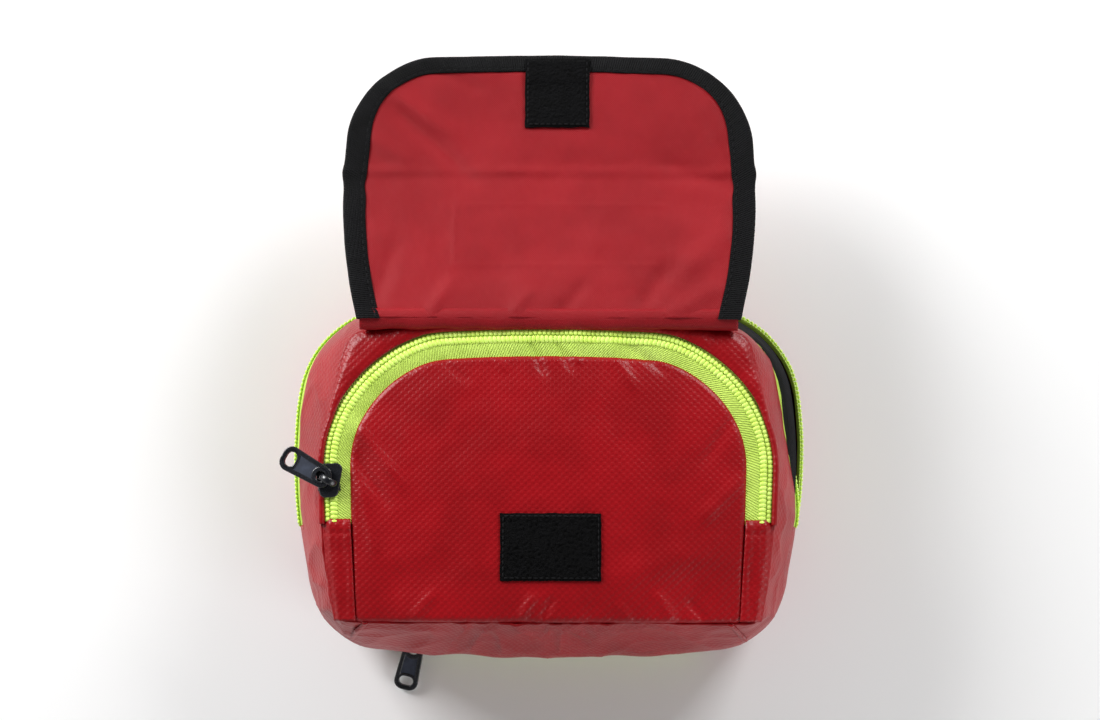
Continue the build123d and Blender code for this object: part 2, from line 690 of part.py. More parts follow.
def slider(seat, bridge_turn, inner_side):
    """A zipper slider on its seat, which is the chain's surface, with its inner plate on one side."""
    inner_top = -FABRIC - SLIDER_CLEAR
    inner_low = inner_top - SLIDER_PLATE
    half = SLIDER_WIDTH / 2
    with BuildPart() as made:
        with BuildSketch(seat.offset(PLATE_FOOT)):
            RectangleRounded(SLIDER_LENGTH, SLIDER_WIDTH, PLATE_CORNER)
        extrude(amount=SLIDER_PLATE)
        with BuildSketch(seat.offset(inner_low)):
            Rectangle(SLIDER_WEB_LENGTH, SLIDER_WEB)
        extrude(amount=PLATE_TOP - inner_low - SLIDER_PLATE / 2)
        with BuildSketch(seat.offset(inner_low)):
            with Locations((0, inner_side * (half - SLIDER_WEB) / 2)):
                Rectangle(SLIDER_LENGTH, half)
        extrude(amount=SLIDER_PLATE)
        along = heading(seat, bridge_turn)
        with BuildSketch(Plane(origin=seat.origin, x_dir=along, z_dir=along.cross(seat.z_dir))):
            height = BRIDGE_CLEAR + BRIDGE_THICK
            with Locations((0, PLATE_TOP + (height - SLIDER_PLATE / 2) / 2)):
                RectangleRounded(BRIDGE_SPAN, height + SLIDER_PLATE / 2, BRIDGE_CORNER)
            with Locations((0, EYE_HEIGHT)):
                inner_span = BRIDGE_SPAN - 2 * BRIDGE_THICK
                RectangleRounded(inner_span, BRIDGE_CLEAR, BRIDGE_INNER_CORNER, mode=Mode.SUBTRACT)
        extrude(amount=BRIDGE_WIDTH / 2, both=True)
    return made.part


def puller(eye):
    """A puller whose eye bar lies on the plane's Y axis and whose length runs along its X axis."""
    thick = 2 * EYE_BAR
    length = PULLER_LENGTH
    near = -EYE_BAR
    with BuildPart() as made:
        with BuildSketch(eye.offset(-EYE_BAR)) as outline:
            with BuildLine():
                neck, full = PULLER_NECK / 2, PULLER_WIDTH / 2
                Polyline(
                    (near, -neck),
                    (near + length, -full),
                    (near + length, full),
                    (near, neck),
                    close=True,
                )
            make_face()
            fillet(outline.vertices().group_by(Axis.X)[-1], PULLER_TIP_CORNER)
            fillet(outline.vertices().group_by(Axis.X)[0], PULLER_EYE_CORNER)
            with Locations((EYE_BAR + EYE_LENGTH / 2, 0)):
                RectangleRounded(EYE_LENGTH, EYE_WIDTH, PLATE_CORNER - EYE_BAR, mode=Mode.SUBTRACT)
            with Locations((length - EYE_BAR - PULLER_RIM_WIDTH - THUMB_HOLE_LENGTH / 2, 0)):
                RectangleRounded(
                    THUMB_HOLE_LENGTH, THUMB_HOLE_WIDTH, THUMB_HOLE_LENGTH / 2 - PULLER_RECESS,
                    mode=Mode.SUBTRACT,
                )
        extrude(amount=thick)
    return made.part


FRONT_SEAT_X = -arch_half(FRONT_SLIDER_Y)
FRONT_SEAT_TILT = math.asin(FRONT_SEAT_X / CROWN_X_RADIUS)
front_seat = Plane(
    origin=(FRONT_SEAT_X, FRONT_SLIDER_Y, crown_height(FRONT_SEAT_X, FRONT_SLIDER_Y)),
    x_dir=(-ARCH_LEAN, 1, ARCH_LEAN * math.tan(FRONT_SEAT_TILT)),
    z_dir=(math.sin(FRONT_SEAT_TILT), 0, math.cos(FRONT_SEAT_TILT)),
)
main_seat = Plane(origin=(MAIN_SLIDER_X, GIRTH_TOP, MAIN_SPLIT), x_dir=(1, 0, 0), z_dir=(0, 1, 0))
ROLL_BOTTOM = GIRTH_BOTTOM + ROLL_INSET
ROLL_SHARE = (REAR_ZIP_SPLIT - ROLL_HEIGHT) / (GIRTH_LOW - ROLL_HEIGHT)
REAR_TILT = math.atan2(ROLL_INSET, GIRTH_LOW - ROLL_HEIGHT)
rear_seat = Plane(
    origin=(REAR_SLIDER_X, between(ROLL_BOTTOM, GIRTH_BOTTOM, ROLL_SHARE), REAR_ZIP_SPLIT),
    x_dir=(1, 0, 0),
    z_dir=(0, -math.cos(REAR_TILT), -math.sin(REAR_TILT)),
)

with BuildPart() as front_slider:
    add(slider(front_seat, FRONT_PULLER_TURN, -1))

with BuildPart() as main_slider:
    add(slider(main_seat, 0, 1))

with BuildPart() as rear_slider:
    add(slider(rear_seat, 90, -1))


def turned_plane(origin, direction, axis):
    """A plane at a hinge point, with X along a direction and Y along a hinge axis."""
    return Plane(origin=origin, x_dir=direction, z_dir=direction.cross(axis))


def eye_of(seat):
    return seat.offset(EYE_HEIGHT).origin


front_heading = heading(front_seat, FRONT_PULLER_TURN)
front_lift = math.radians(FRONT_PULLER_LIFT)
front_direction = front_heading * math.cos(front_lift) + front_seat.z_dir * math.sin(front_lift)
front_axis = front_seat.z_dir.cross(front_heading)
front_eye = turned_plane(eye_of(front_seat), front_direction, front_axis)

main_eye = turned_plane(eye_of(main_seat), -main_seat.x_dir, main_seat.y_dir)

rear_drop = eye_of(rear_seat).Z - REAR_PULLER_REST
rear_slope = math.asin(rear_drop / (PULLER_LENGTH - EYE_BAR))
rear_yaw = math.radians(REAR_PULLER_YAW)
rear_direction = Vector(
    -math.sin(rear_yaw) * math.cos(rear_slope),
    -math.cos(rear_yaw) * math.cos(rear_slope),
    -math.sin(rear_slope),
)
rear_axis = Vector(math.cos(rear_yaw), -math.sin(rear_yaw), 0)
rear_eye = turned_plane(eye_of(rear_seat), rear_direction, rear_axis)

with BuildPart() as front_puller:
    add(puller(front_eye))

with BuildPart() as main_puller:
    add(puller(main_eye))

with BuildPart() as rear_puller:
    add(puller(rear_eye))


# ---------------------------------------------------------------- contents
MAIN_FLOOR = FLOOR + LINING + PACK_GAP
POCKET_FLOOR = DIVIDER_HEIGHT + LINING + PACK_GAP


def pack(size, place, foot):
    """A soft flat pack with rounded edges, standing at a height."""
    with BuildPart() as made:
        with Locations((*place, foot + size[2] / 2)):
            Box(*size)
        fillet(made.edges().filter_by(Axis.Z), PACK_EDGE * 2)
        fillet(made.faces().sort_by(Axis.Z)[-1].edges(), min(PACK_EDGE, size[2] / 3))
    return made.part


with BuildPart() as bandage_rolls:
    for roll_y in ROLL_YS:
        roll_start = (ROLL_X - ROLL_LENGTH / 2, roll_y, MAIN_FLOOR + ROLL_RADIUS)
        with BuildSketch(Plane(origin=roll_start, z_dir=(1, 0, 0))):
            Circle(ROLL_RADIUS)
        extrude(amount=ROLL_LENGTH)

with BuildPart() as wound_dressings:
    for count in range(DRESSING_COUNT):
        add(pack(DRESSING, DRESSING_PLACE, MAIN_FLOOR + count * (DRESSING[2] + SACHET_GAP)))

DRESSINGS_TOP = MAIN_FLOOR + DRESSING_COUNT * (DRESSING[2] + SACHET_GAP)
with BuildPart() as triangular_bandage:
    add(pack(BANDAGE, BANDAGE_PLACE, DRESSINGS_TOP))

with BuildPart() as foil_blanket:
    add(pack(BLANKET, BLANKET_PLACE, MAIN_FLOOR))

with BuildPart() as tape_core:
    with BuildSketch(Plane.XY.offset(MAIN_FLOOR)):
        with Locations(TAPE_ROLL_PLACE):
            Circle(TAPE_CORE_RADIUS)
            Circle(TAPE_CORE_RADIUS - TAPE_CORE_WALL, mode=Mode.SUBTRACT)
    extrude(amount=TAPE_ROLL_HEIGHT)

with BuildPart() as adhesive_tape:
    with BuildSketch(Plane.XY.offset(MAIN_FLOOR)):
        with Locations(TAPE_ROLL_PLACE):
            Circle(TAPE_ROLL_RADIUS)
            Circle(TAPE_CORE_RADIUS, mode=Mode.SUBTRACT)
    extrude(amount=TAPE_ROLL_HEIGHT)

with BuildPart() as tweezers:
    with BuildSketch(Plane.YZ.offset(BLANKET_PLACE[0])):
        tail = BLANKET_PLACE[1] + BLANKET[1] / 2
        tips = tail - TWEEZERS_LENGTH
        foot = MAIN_FLOOR + BLANKET[2] + PACK_GAP
        with BuildLine():
            Polyline(
                (tail, foot),
                (tips, foot),
                (tips, foot + TWEEZERS_LEG),
                (tail - 2 * TWEEZERS_LEG, foot + TWEEZERS_LEG),
                (tips, foot + TWEEZERS_LEG + TWEEZERS_MOUTH),
                (tips, foot + 2 * TWEEZERS_LEG + TWEEZERS_MOUTH),
                (tail, foot + 2 * TWEEZERS_LEG),
                close=True,
            )
        make_face()
    extrude(amount=TWEEZERS_WIDTH / 2, both=True)

with BuildPart() as plaster_pack:
    add(pack(PLASTERS, PLASTERS_PLACE, POCKET_FLOOR))

with BuildPart() as glove_pack:
    add(pack(GLOVES, GLOVES_PLACE, POCKET_FLOOR))

with BuildPart() as antiseptic_wipes:
    wipes_floor = POCKET_FLOOR + GLOVES[2] + PACK_GAP
    for count in range(WIPE_COUNT):
        add(pack(WIPE, GLOVES_PLACE, wipes_floor + count * (WIPE[2] + SACHET_GAP)))


# ---------------------------------------------------------------- the files
PIECES = {
    "back_panel": back_panel,
    "back_board": back_board,
    "rear_gusset": rear_gusset,
    "main_lining": main_lining,
    "main_zip_tape_rear": main_zip_tape_rear,
    "main_zip_coil_rear": main_zip_coil_rear,
    "rear_zip_tapes": rear_zip_tapes,
    "rear_zip_coils": rear_zip_coils,
    "bandage_rolls": bandage_rolls,
    "wound_dressings": wound_dressings,
    "triangular_bandage": triangular_bandage,
    "adhesive_tape": adhesive_tape,
    "tape_core": tape_core,
    "foil_blanket": foil_blanket,
    "tweezers": tweezers,
    "divider_panel": divider_panel,
    "front_gusset": front_gusset,
    "bottom_gusset": bottom_gusset,
    "front_frame": front_frame,
    "zip_end_strips": zip_end_strips,
    "lower_front_panel": lower_front_panel,
    "loop_patch": loop_patch,
    "front_zip_tape_outer": front_zip_tape_outer,
    "front_zip_coil_outer": front_zip_coil_outer,
    "front_zip_ends": front_zip_ends,
    "main_zip_tape_front": main_zip_tape_front,
    "main_zip_coil_front": main_zip_coil_front,
    "flap_root": flap_root,
    "plaster_pack": plaster_pack,
    "glove_pack": glove_pack,
    "antiseptic_wipes": antiseptic_wipes,
    "upper_front_panel": upper_front_panel,
    "front_zip_tape_inner": front_zip_tape_inner,
    "front_zip_coil_inner": front_zip_coil_inner,
    "flap_outer": flap_outer,
    "flap_lining": flap_lining,
    "flap_binding": flap_binding,
    "hook_patch": hook_patch,
    "front_slider": front_slider,
    "front_puller": front_puller,
    "main_slider": main_slider,
    "main_puller": main_puller,
    "rear_slider": rear_slider,
    "rear_puller": rear_puller,
}
for name, piece in PIECES.items():
    piece.part.label = name
    export_step(piece.part, f"parts/{name}.step")

# The hinge lines and slides that the pieces are built round, in millimetres
MOTION = {
    "main_opening": ((0, GIRTH_BOTTOM - FOLD_GAP / 2, MAIN_SPLIT), (1, 0, 0)),
    "front_panel_fold": ((0, FRONT_FOLD, CROWN_HEIGHT), (1, 0, 0)),
    "flap_hinge": ((0, FLAP_AXIS_Y, FLAP_AXIS_HEIGHT), (1, 0, 0)),
    "front_slider_run": (tuple(front_seat.origin), tuple(front_seat.x_dir)),
    "front_puller_swing": (tuple(front_eye.origin), tuple(front_eye.y_dir)),
    "main_slider_run": (tuple(main_seat.origin), tuple(main_seat.x_dir)),
    "main_puller_swing": (tuple(main_eye.origin), tuple(main_eye.y_dir)),
    "rear_slider_run": (tuple(rear_seat.origin), tuple(rear_seat.x_dir)),
    "rear_puller_swing": (tuple(rear_eye.origin), tuple(rear_eye.y_dir)),
}
for name, (point, direction) in MOTION.items():
    print(name, [round(v, 4) for v in point], [round(v, 5) for v in direction])
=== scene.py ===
import json
import math

import bmesh
import bpy
import numpy as np
from mathutils import Matrix, Vector, noise


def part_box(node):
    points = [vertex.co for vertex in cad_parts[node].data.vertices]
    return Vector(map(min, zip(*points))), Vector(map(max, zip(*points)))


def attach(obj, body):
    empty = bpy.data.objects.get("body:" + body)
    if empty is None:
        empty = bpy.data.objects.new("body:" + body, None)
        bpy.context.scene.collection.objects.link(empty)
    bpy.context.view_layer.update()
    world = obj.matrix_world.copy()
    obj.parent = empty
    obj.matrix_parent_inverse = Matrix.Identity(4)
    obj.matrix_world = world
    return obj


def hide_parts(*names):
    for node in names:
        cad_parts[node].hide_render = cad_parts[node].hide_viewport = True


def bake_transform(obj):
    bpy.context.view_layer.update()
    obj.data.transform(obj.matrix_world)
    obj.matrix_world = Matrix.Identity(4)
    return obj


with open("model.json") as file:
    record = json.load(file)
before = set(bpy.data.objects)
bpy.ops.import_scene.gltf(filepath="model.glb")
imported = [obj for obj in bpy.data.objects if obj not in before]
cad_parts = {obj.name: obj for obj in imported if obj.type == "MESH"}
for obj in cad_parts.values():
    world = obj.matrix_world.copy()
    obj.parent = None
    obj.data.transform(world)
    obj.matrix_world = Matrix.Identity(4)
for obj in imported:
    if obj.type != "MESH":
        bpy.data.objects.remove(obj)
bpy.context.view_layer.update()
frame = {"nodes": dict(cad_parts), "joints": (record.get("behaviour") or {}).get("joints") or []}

MM = 0.001
JOINTS = {joint["name"]: joint for joint in frame["joints"]}


def mm_box(name):
    """The low and high corners of a CAD node's box, in millimetres."""
    return [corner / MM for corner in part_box(name)]


# ------------------------------------------------------------------ the bag's sizes, mm
GIRTH_BOX = mm_box("rear_gusset")
FRONT_BOX = mm_box("front_zip_coil_outer")
FLAP_BOX = mm_box("flap_binding")
GIRTH_HALF = GIRTH_BOX[1].x
GIRTH_TOP = GIRTH_BOX[1].y
ZIP_END = FRONT_BOX[0].y
SEAM_TOP = mm_box("upper_front_panel")[1].z
FRONT_HALF = GIRTH_HALF - 10.5
FRONT_TOP = GIRTH_TOP - 14.0
FRONT_FOOT = 8.0 - GIRTH_TOP
MIDDLE_Y = (FRONT_TOP + FRONT_FOOT) / 2
CROWN_X_DROP = 5.0
CROWN_Y_DROP = 3.0
SPLIT = JOINTS["main_opening"]["pos_m"][2] / MM
HINGE_Y = JOINTS["flap_hinge"]["pos_m"][1] / MM
HINGE_Z = JOINTS["flap_hinge"]["pos_m"][2] / MM

# Outlines: half widths at top, middle and foot, top, foot, top corner, foot corner, crown
GIRTH = (GIRTH_HALF - 6, GIRTH_HALF + 3.5, GIRTH_HALF - 11, GIRTH_TOP, -GIRTH_TOP, 40, 30, 0)
FRONT = (FRONT_HALF - 10, FRONT_HALF, FRONT_HALF - 5.5, FRONT_TOP, FRONT_FOOT, 7, 6, 2.2)
ARCH = (FRONT_HALF - 1.9, FRONT_HALF - 2.4, FRONT_HALF - 3.6, FRONT_TOP - 6.6, ZIP_END, 44, 0, 4.8)
FLAP = (73, 79, 72, FLAP_BOX[1].y - 4.5, HINGE_Y, 34, 1, 2.4)

GIRTH_LOW = 20.0
GIRTH_HIGH = 40.0
TAPER_START = 31.0  # above this the walls lean in towards the front face
BACK_INSET = 8.0
REAR_TAPE_FOOT = SPLIT - 8.6
FRONT_TAPE_TOP = SPLIT + 8.6
COIL_REACH = 3.0  # slit to the far edge of one half of the chain
TAPE_REACH = 8.0
OPEN_LIFT = 6.0
BELLY = 5.5  # how far the bottom wall sags out
BELLY_HEIGHT, BELLY_REACH = 33.0, 15.0
OPEN_START = 8.0
OPEN_RAMP = 42.0
BINDING = 8.8
TOOTH_PITCH = 1.65
SEAM_MARGIN = 1.4  # tape stays this far inside the seam round the front


# ------------------------------------------------------------------ outlines and surfaces
def smooth(low, high, value):
    """Climbs softly from 0 to 1 between two values."""
    share = min(1.0, max(0.0, (value - low) / (high - low)))
    return share * share * (3 - 2 * share)


def arc(centre, radius, start, end, steps):
    angles = np.linspace(start, end, steps)
    return [(centre[0] + radius * math.cos(a), centre[1] + radius * math.sin(a)) for a in angles]


def half_outline(shape, inset, closed):
    """The right half of an outline, from its foot to the middle of its top."""
    top_half, mid_half, foot_half, top, foot, top_corner, foot_corner, crown = shape
    middle = (top + foot) / 2
    side = [(foot_half - inset, foot + inset * closed), (mid_half - inset, middle)]
    side.append((top_half - inset, top - inset))
    (ax, ay), (bx, by), (cx, cy) = side
    turn = 2 * (ax * (by - cy) + bx * (cy - ay) + cx * (ay - by))
    squares = [x * x + y * y for x, y in side]
    ux = (squares[0] * (by - cy) + squares[1] * (cy - ay) + squares[2] * (ay - by)) / turn
    uy = (squares[0] * (cx - bx) + squares[1] * (ax - cx) + squares[2] * (bx - ax)) / turn
    radius = math.hypot(ax - ux, ay - uy)
    corner = max(top_corner - inset, 0.5)
    reach = math.sqrt((radius - corner) ** 2 - (cy - corner - uy) ** 2)
    high = math.atan2(cy - corner - uy, reach)
    points = []
    low = math.atan2(ay - uy, ax - ux)
    if closed:
        toe = max(foot_corner - inset, 0.5)
        toe_reach = math.sqrt((radius - toe) ** 2 - (ay + toe - uy) ** 2)
        low = math.atan2(ay + toe - uy, toe_reach)
        points += [(x, ay) for x in np.linspace(0, ux + toe_reach, 40)]
        points += arc((ux + toe_reach, ay + toe), toe, -math.pi / 2, low, 24)[1:]
    points += arc((ux, uy), radius, low, high, 60)[closed:]
    points += arc((ux + reach, cy - corner), corner, high, math.pi / 2, 40)[1:]
    points += [(x, cy) for x in np.linspace(ux + reach, 0, 40)][1:]
    lifted = []
    for x, y in points:
        rise = max(0.0, (y - middle) / (cy - middle))
        lifted.append((x, y + crown * max(0.0, 1 - (x / top_half) ** 2) * rise**3))
    return lifted


class Outline:
    """An outline as a fine line of points, read by share of its length or by direction."""

    def __init__(self, shape, inset=0.0, closed=True):
        half = half_outline(shape, inset, closed)
        self.line = np.array(half + [(-x, y) for x, y in reversed(half[:-1])])
        steps = np.hypot(*np.diff(self.line, axis=0).T)
        self.run = np.concatenate([[0], np.cumsum(steps)])
        self.length = float(self.run[-1])

    def at(self, share):
        place = share * self.length
        x = np.interp(place, self.run, self.line[:, 0])
        return Vector((x, np.interp(place, self.run, self.line[:, 1])))

    def radii(self, middle_y, angles):
        """Distance from the middle to the outline in each direction, counted from straight down."""
        turns = np.unwrap(np.arctan2(self.line[:, 1] - middle_y, self.line[:, 0]))
        reach = np.hypot(self.line[:, 0], self.line[:, 1] - middle_y)
        return np.interp(angles, turns + math.pi / 2, reach)


ANGLES = np.linspace(0, 2 * math.pi, 721)
SHARES = np.linspace(0, 1, 21)
INSETS = np.linspace(0, BACK_INSET + 4, 13)


def mixed(share):
    return tuple(g + (f - g) * share for g, f in zip(GIRTH, FRONT))


UPPER = np.array([Outline(mixed(s)).radii(MIDDLE_Y, ANGLES) for s in SHARES])
LOWER = np.array([Outline(GIRTH, i).radii(MIDDLE_Y, ANGLES) for i in INSETS])


def read_table(table, keys, key, angle):
    """A value between a table's rows and between its directions."""
    angle = angle % (2 * math.pi)
    place = min(max(np.interp(key, keys, range(len(keys))), 0), len(keys) - 1.001)
    row = int(place)
    low = np.interp(angle, ANGLES, table[row])
    return low + (np.interp(angle, ANGLES, table[row + 1]) - low) * (place - row)


CROWN_X_RADIUS = (FRONT_HALF**2 + CROWN_X_DROP**2) / (2 * CROWN_X_DROP)
CROWN_HALF = (FRONT_TOP - FRONT_FOOT) / 2
CROWN_Y_RADIUS = (CROWN_HALF**2 + CROWN_Y_DROP**2) / (2 * CROWN_Y_DROP)


def crown(x, y):
    """Height of the front face, before its wrinkles."""
    drop = CROWN_Y_RADIUS - math.sqrt(CROWN_Y_RADIUS**2 - (y - MIDDLE_Y) ** 2)
    radius = CROWN_X_RADIUS - drop
    return SEAM_TOP - CROWN_X_RADIUS + math.sqrt(radius**2 - x * x)


def bumps(x, y, size, seed=0.0):
    """Soft random hills, from -1 to 1."""
    return noise.noise(Vector((x / size, y / size, seed)))


def ridge(x, y, size, seed=0.0):
    """Narrow random crests, from 0 to 1, as crumpled cloth has."""
    return (1 - abs(bumps(x, y, size, seed))) ** 6


def crease(x, y, line, width):
    """How near a place is to a crease, from 0 to 1, fading at the crease's ends."""
    x0, y0, x1, y1 = line
    dx, dy = x1 - x0, y1 - y0
    share = ((x - x0) * dx + (y - y0) * dy) / (dx * dx + dy * dy)
    if not -0.2 < share < 1.2:
        return 0.0
    away = ((x - x0) * dy - (y - y0) * dx) / math.hypot(dx, dy)
    return math.exp(-((away / width) ** 2)) * smooth(-0.2, 0.15, share) * smooth(1.2, 0.7, share)


# Creases of the front face: from, to, width and height
FRONT_CREASES = (
    ((-7, 47, -1, 34), 1.6, -0.9),
    ((3, 47, 9, 36), 1.3, -0.8),
    ((8, 45, 12, 39), 1.2, 0.6),
    ((22, 46, 32, 30), 2.4, 0.9),
    ((30, 46, 44, 36), 1.8, -0.9),
    ((-22, 45, -16, 36), 1.6, 0.5),
    ((-40, 40, -30, 32), 1.8, -0.5),
    ((-72, 16, -55, -6), 2.6, 1.1),
    ((-72, 4, -60, -14), 2.2, -0.9),
    ((-70, -6, -64, -34), 2.0, 0.5),
    ((70, 20, 58, 2), 2.4, -0.6),
    ((72, -4, 56, -20), 3.0, 0.7),
    ((-10, -56, -5, -47), 1.8, 0.9),
    ((-2, -56, 2, -48), 1.5, -0.7),
    ((46, -56, 40, -46), 2.0, 0.8),
    ((58, -56, 52, -49), 1.5, -0.7),
    ((-50, -56, -42, -46), 2.2, 0.6),
    ((30, -56, 26, -50), 1.4, 0.5),
    ((28, -40, 62, -30), 6.0, 0.7),
    ((-60, -44, -30, -36), 6.0, -0.5),
)


def front_height(x, y):
    """Height of the front face with its wrinkles."""
    height = crown(x, y)
    height += 0.6 * bumps(x, y, 30, 3) + 0.2 * bumps(x, y, 12, 7)
    edge = min(FRONT_TOP - 3 - y, y - FRONT_FOOT)
    pucker = math.exp(-max(0.0, edge) / 6.0)
    height += 0.55 * pucker * bumps(x, y * 0.25, 6.5, 11)
    side = math.exp(-max(0.0, FRONT_HALF - 10 - abs(x)) / 5.0)
    height += 0.4 * side * bumps(x * 0.25, y, 8, 13)
    for line, width, rise in FRONT_CREASES:
        height += rise * crease(x, y, line, width)
    return height


def seam_height(angle):
    """Height of the seam between the front face and the walls."""
    reach = read_table(UPPER, SHARES, 1, angle)
    x, y = reach * math.sin(angle), MIDDLE_Y - reach * math.cos(angle)
    return crown(x, y) - 1.0


def open_share(angle):
    """How far the main zipper's open run stands open in a direction, from 0 to 1."""
    reach = read_table(UPPER, SHARES, 0, angle)
    x, y = reach * math.sin(angle), MIDDLE_Y - reach * math.cos(angle)
    return smooth(OPEN_START, OPEN_START + OPEN_RAMP, x) * smooth(ZIP_END, ZIP_END + OPEN_RAMP, y)


def opening_shift(angle, height):
    """How far the two halves of the open run part sideways."""
    opened = open_share(angle)
    if opened == 0.0:
        return 0.0
    if height > SPLIT:
        return -4.5 * opened * smooth(SPLIT + 34, SPLIT + 8, height)
    return 1.0 * opened * smooth(GIRTH_LOW - 10, GIRTH_LOW, height)


def wall(angle, height, out=0.0):
    """A place on the walls, by its direction counted from straight down, and its height."""
    seam = seam_height(angle)
    run = angle * 90
    if height < GIRTH_LOW:
        inset = BACK_INSET * (1 - height / GIRTH_LOW) ** 4
        reach = read_table(LOWER, INSETS, inset, angle)
    else:
        share = max(0.0, (height - TAPER_START) / (seam - TAPER_START)) ** 1.25
        reach = read_table(UPPER, SHARES, min(1.0, share), angle)
    from_seam = max(0.0, seam - height)
    folds = 0.9 * math.exp(-from_seam / 7.0) * bumps(run, height * 0.3, 7, 21)
    folds += 0.8 * bumps(run, height, 32, 5) + 0.55 * bumps(run, height * 0.45, 12, 9)
    folds += 0.7 * ridge(run, height * 1.6, 26, 15) * smooth(0, 10, from_seam)
    foot = smooth(0.9, 0.5, abs(math.sin(angle / 2))) * smooth(GIRTH_HIGH - 8, GIRTH_HIGH + 6, height)
    folds += foot * 1.3 * ridge(run, height * 0.5, 15, 2) * smooth(0, 6, from_seam)
    along_zip = smooth(6, 3, abs(height - SPLIT) - 4) * smooth(0.35, 0.6, abs(math.sin(angle / 2)))
    calm = 1 - 0.75 * along_zip
    reach += (folds * calm + out) * smooth(-1, 6, height + 1)
    sag = math.exp(-(((height - BELLY_HEIGHT) / BELLY_REACH) ** 2))
    reach += BELLY * smooth(0.62, 0.25, abs(math.sin(angle / 2))) * sag
    reach += opening_shift(angle, height)
    return Vector((reach * math.sin(angle), MIDDLE_Y - reach * math.cos(angle), height))


def angle_at(y):
    """The direction from the middle in which the girth passes a place along Y, on the right."""
    angles = np.linspace(0, math.pi, 400)
    ys = [MIDDLE_Y - read_table(UPPER, SHARES, 0, a) * math.cos(a) for a in angles]
    return float(np.interp(y, ys, angles))


END_ANGLE = angle_at(ZIP_END)


# ------------------------------------------------------------------ mesh building
def finish(bm, name, body=None, slot=None, material=None, thick=0.0, side=-1.0, levels=0):
    """Turns a bmesh in millimetres into a piece that rides on a body, in its slot's material."""
    bmesh.ops.scale(bm, vec=(MM, MM, MM), verts=bm.verts)
    mesh = bpy.data.meshes.new(name)
    bm.to_mesh(mesh)
    bm.free()
    mesh.shade_smooth()
    piece = bpy.data.objects.new(name, mesh)
    bpy.context.scene.collection.objects.link(piece)
    material = material or LOOKS.get(slot)
    if material is not None:
        mesh.materials.append(material)
    if thick:
        wall_modifier = piece.modifiers.new("thickness", "SOLIDIFY")
        wall_modifier.thickness = thick * MM
        wall_modifier.offset = side
    if levels:
        rounding = piece.modifiers.new("rounding", "SUBSURF")
        rounding.levels = levels
        rounding.render_levels = levels
    if body is not None:
        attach(piece, body)
    return piece


def laid(columns, rows, place, size=None, flip=False, closed=False):
    """A grid laid onto a surface; its map is in millimetres, along the cloth or in plan."""
    bm = bmesh.new()
    bmesh.ops.create_grid(bm, x_segments=columns, y_segments=rows, size=0.5)
    layer = bm.loops.layers.uv.new("cloth")
    shares = {vert: (vert.co.x + 0.5, vert.co.y + 0.5) for vert in bm.verts}
    for vert, (across, up) in shares.items():
        vert.co = place(across, up)
    for face in bm.faces:
        for loop in face.loops:
            across, up = shares[loop.vert]
            plan = (loop.vert.co.x, loop.vert.co.y)
            loop[layer].uv = (across * size[0], up * size[1]) if size else plan
    if closed:
        bmesh.ops.remove_doubles(bm, verts=bm.verts, dist=0.001)
    if flip:
        bmesh.ops.reverse_faces(bm, faces=bm.faces)
    return bm


def filled(edge, middle, segments, height, flip=False):
    """A grid that fills a closed outline, with its height from a function of the plan."""
    angles = np.linspace(0, 2 * math.pi, 1441)
    radii = edge.radii(middle, angles)
    half_x = float(edge.line[:, 0].max())
    half_y = float(edge.line[:, 1].max() - middle)

    def place(across, up):
        u, v = 2 * across - 1, 2 * up - 1
        reach = max(abs(u), abs(v))
        if reach < 1e-6:
            return Vector((0, middle, height(0, middle)))
        turn = math.atan2(u * half_x, -v * half_y) % (2 * math.pi)
        radius = float(np.interp(turn, angles, radii)) * reach
        x, y = radius * math.sin(turn), middle - radius * math.cos(turn)
        return Vector((x, y, height(x, y)))

    return laid(segments[0], segments[1], place, flip=flip)


def beads(places):
    """Many small rounded bars, each at its own matrix."""
    bm = bmesh.new()
    bm.loops.layers.uv.new("cloth")
    for matrix in places:
        bmesh.ops.create_uvsphere(bm, u_segments=8, v_segments=5, radius=1.0, matrix=matrix)
    return bm


def standing(origin, along, up, size):
    """A matrix at a place, with X along a direction and Z upwards, scaled by three half sizes."""
    x = along.normalized()
    y = up.cross(x).normalized()
    z = x.cross(y)
    turned = Matrix((x, y, z)).transposed().to_4x4()
    return Matrix.Translation(origin) @ turned @ Matrix.Diagonal((*size, 1))


def stitched(name, point, normal, length, pitch, material, body, thread=(0.42, 0.3)):
    """A row of thread stitches along a line, given by share of its length."""
    count = int(length / pitch)
    places = []
    for number in range(count):
        share = (number + 0.5) / count
        here = point(share)
        ahead = point(min(1, share + 0.3 / count)) - point(max(0, share - 0.3 / count))
        places.append(standing(here, ahead, normal(share), (pitch * 0.4, thread[0], thread[1])))
    return finish(beads(places), name, body, material=material)


# ------------------------------------------------------------------ materials
def node(tree, kind, inputs=None, **settings):
    """Adds a shader node; an input is a value or another node's output."""
    made = tree.nodes.new(kind)
    for key, value in settings.items():
        setattr(made, key, value)
    for key, value in (inputs or {}).items():
        if isinstance(value, bpy.types.NodeSocket):
            tree.links.new(value, made.inputs[key])
        else:
            made.inputs[key].default_value = value
    return made


def maths(tree, operation, first, second=0.0):
    inputs = {0: first, 1: second}
    return node(tree, "ShaderNodeMath", inputs, operation=operation).outputs[0]


def group(name, inputs, outputs):
    """An empty shader group with named sockets: its tree, its input node and its output node."""
    tree = bpy.data.node_groups.new(name, "ShaderNodeTree")
    for label, kind, value in inputs:
        socket = tree.interface.new_socket(label, in_out="INPUT", socket_type=kind)
        if value is not None:
            socket.default_value = value
    for label, kind in outputs:
        tree.interface.new_socket(label, in_out="OUTPUT", socket_type=kind)
    return tree, tree.nodes.new("NodeGroupInput"), tree.nodes.new("NodeGroupOutput")


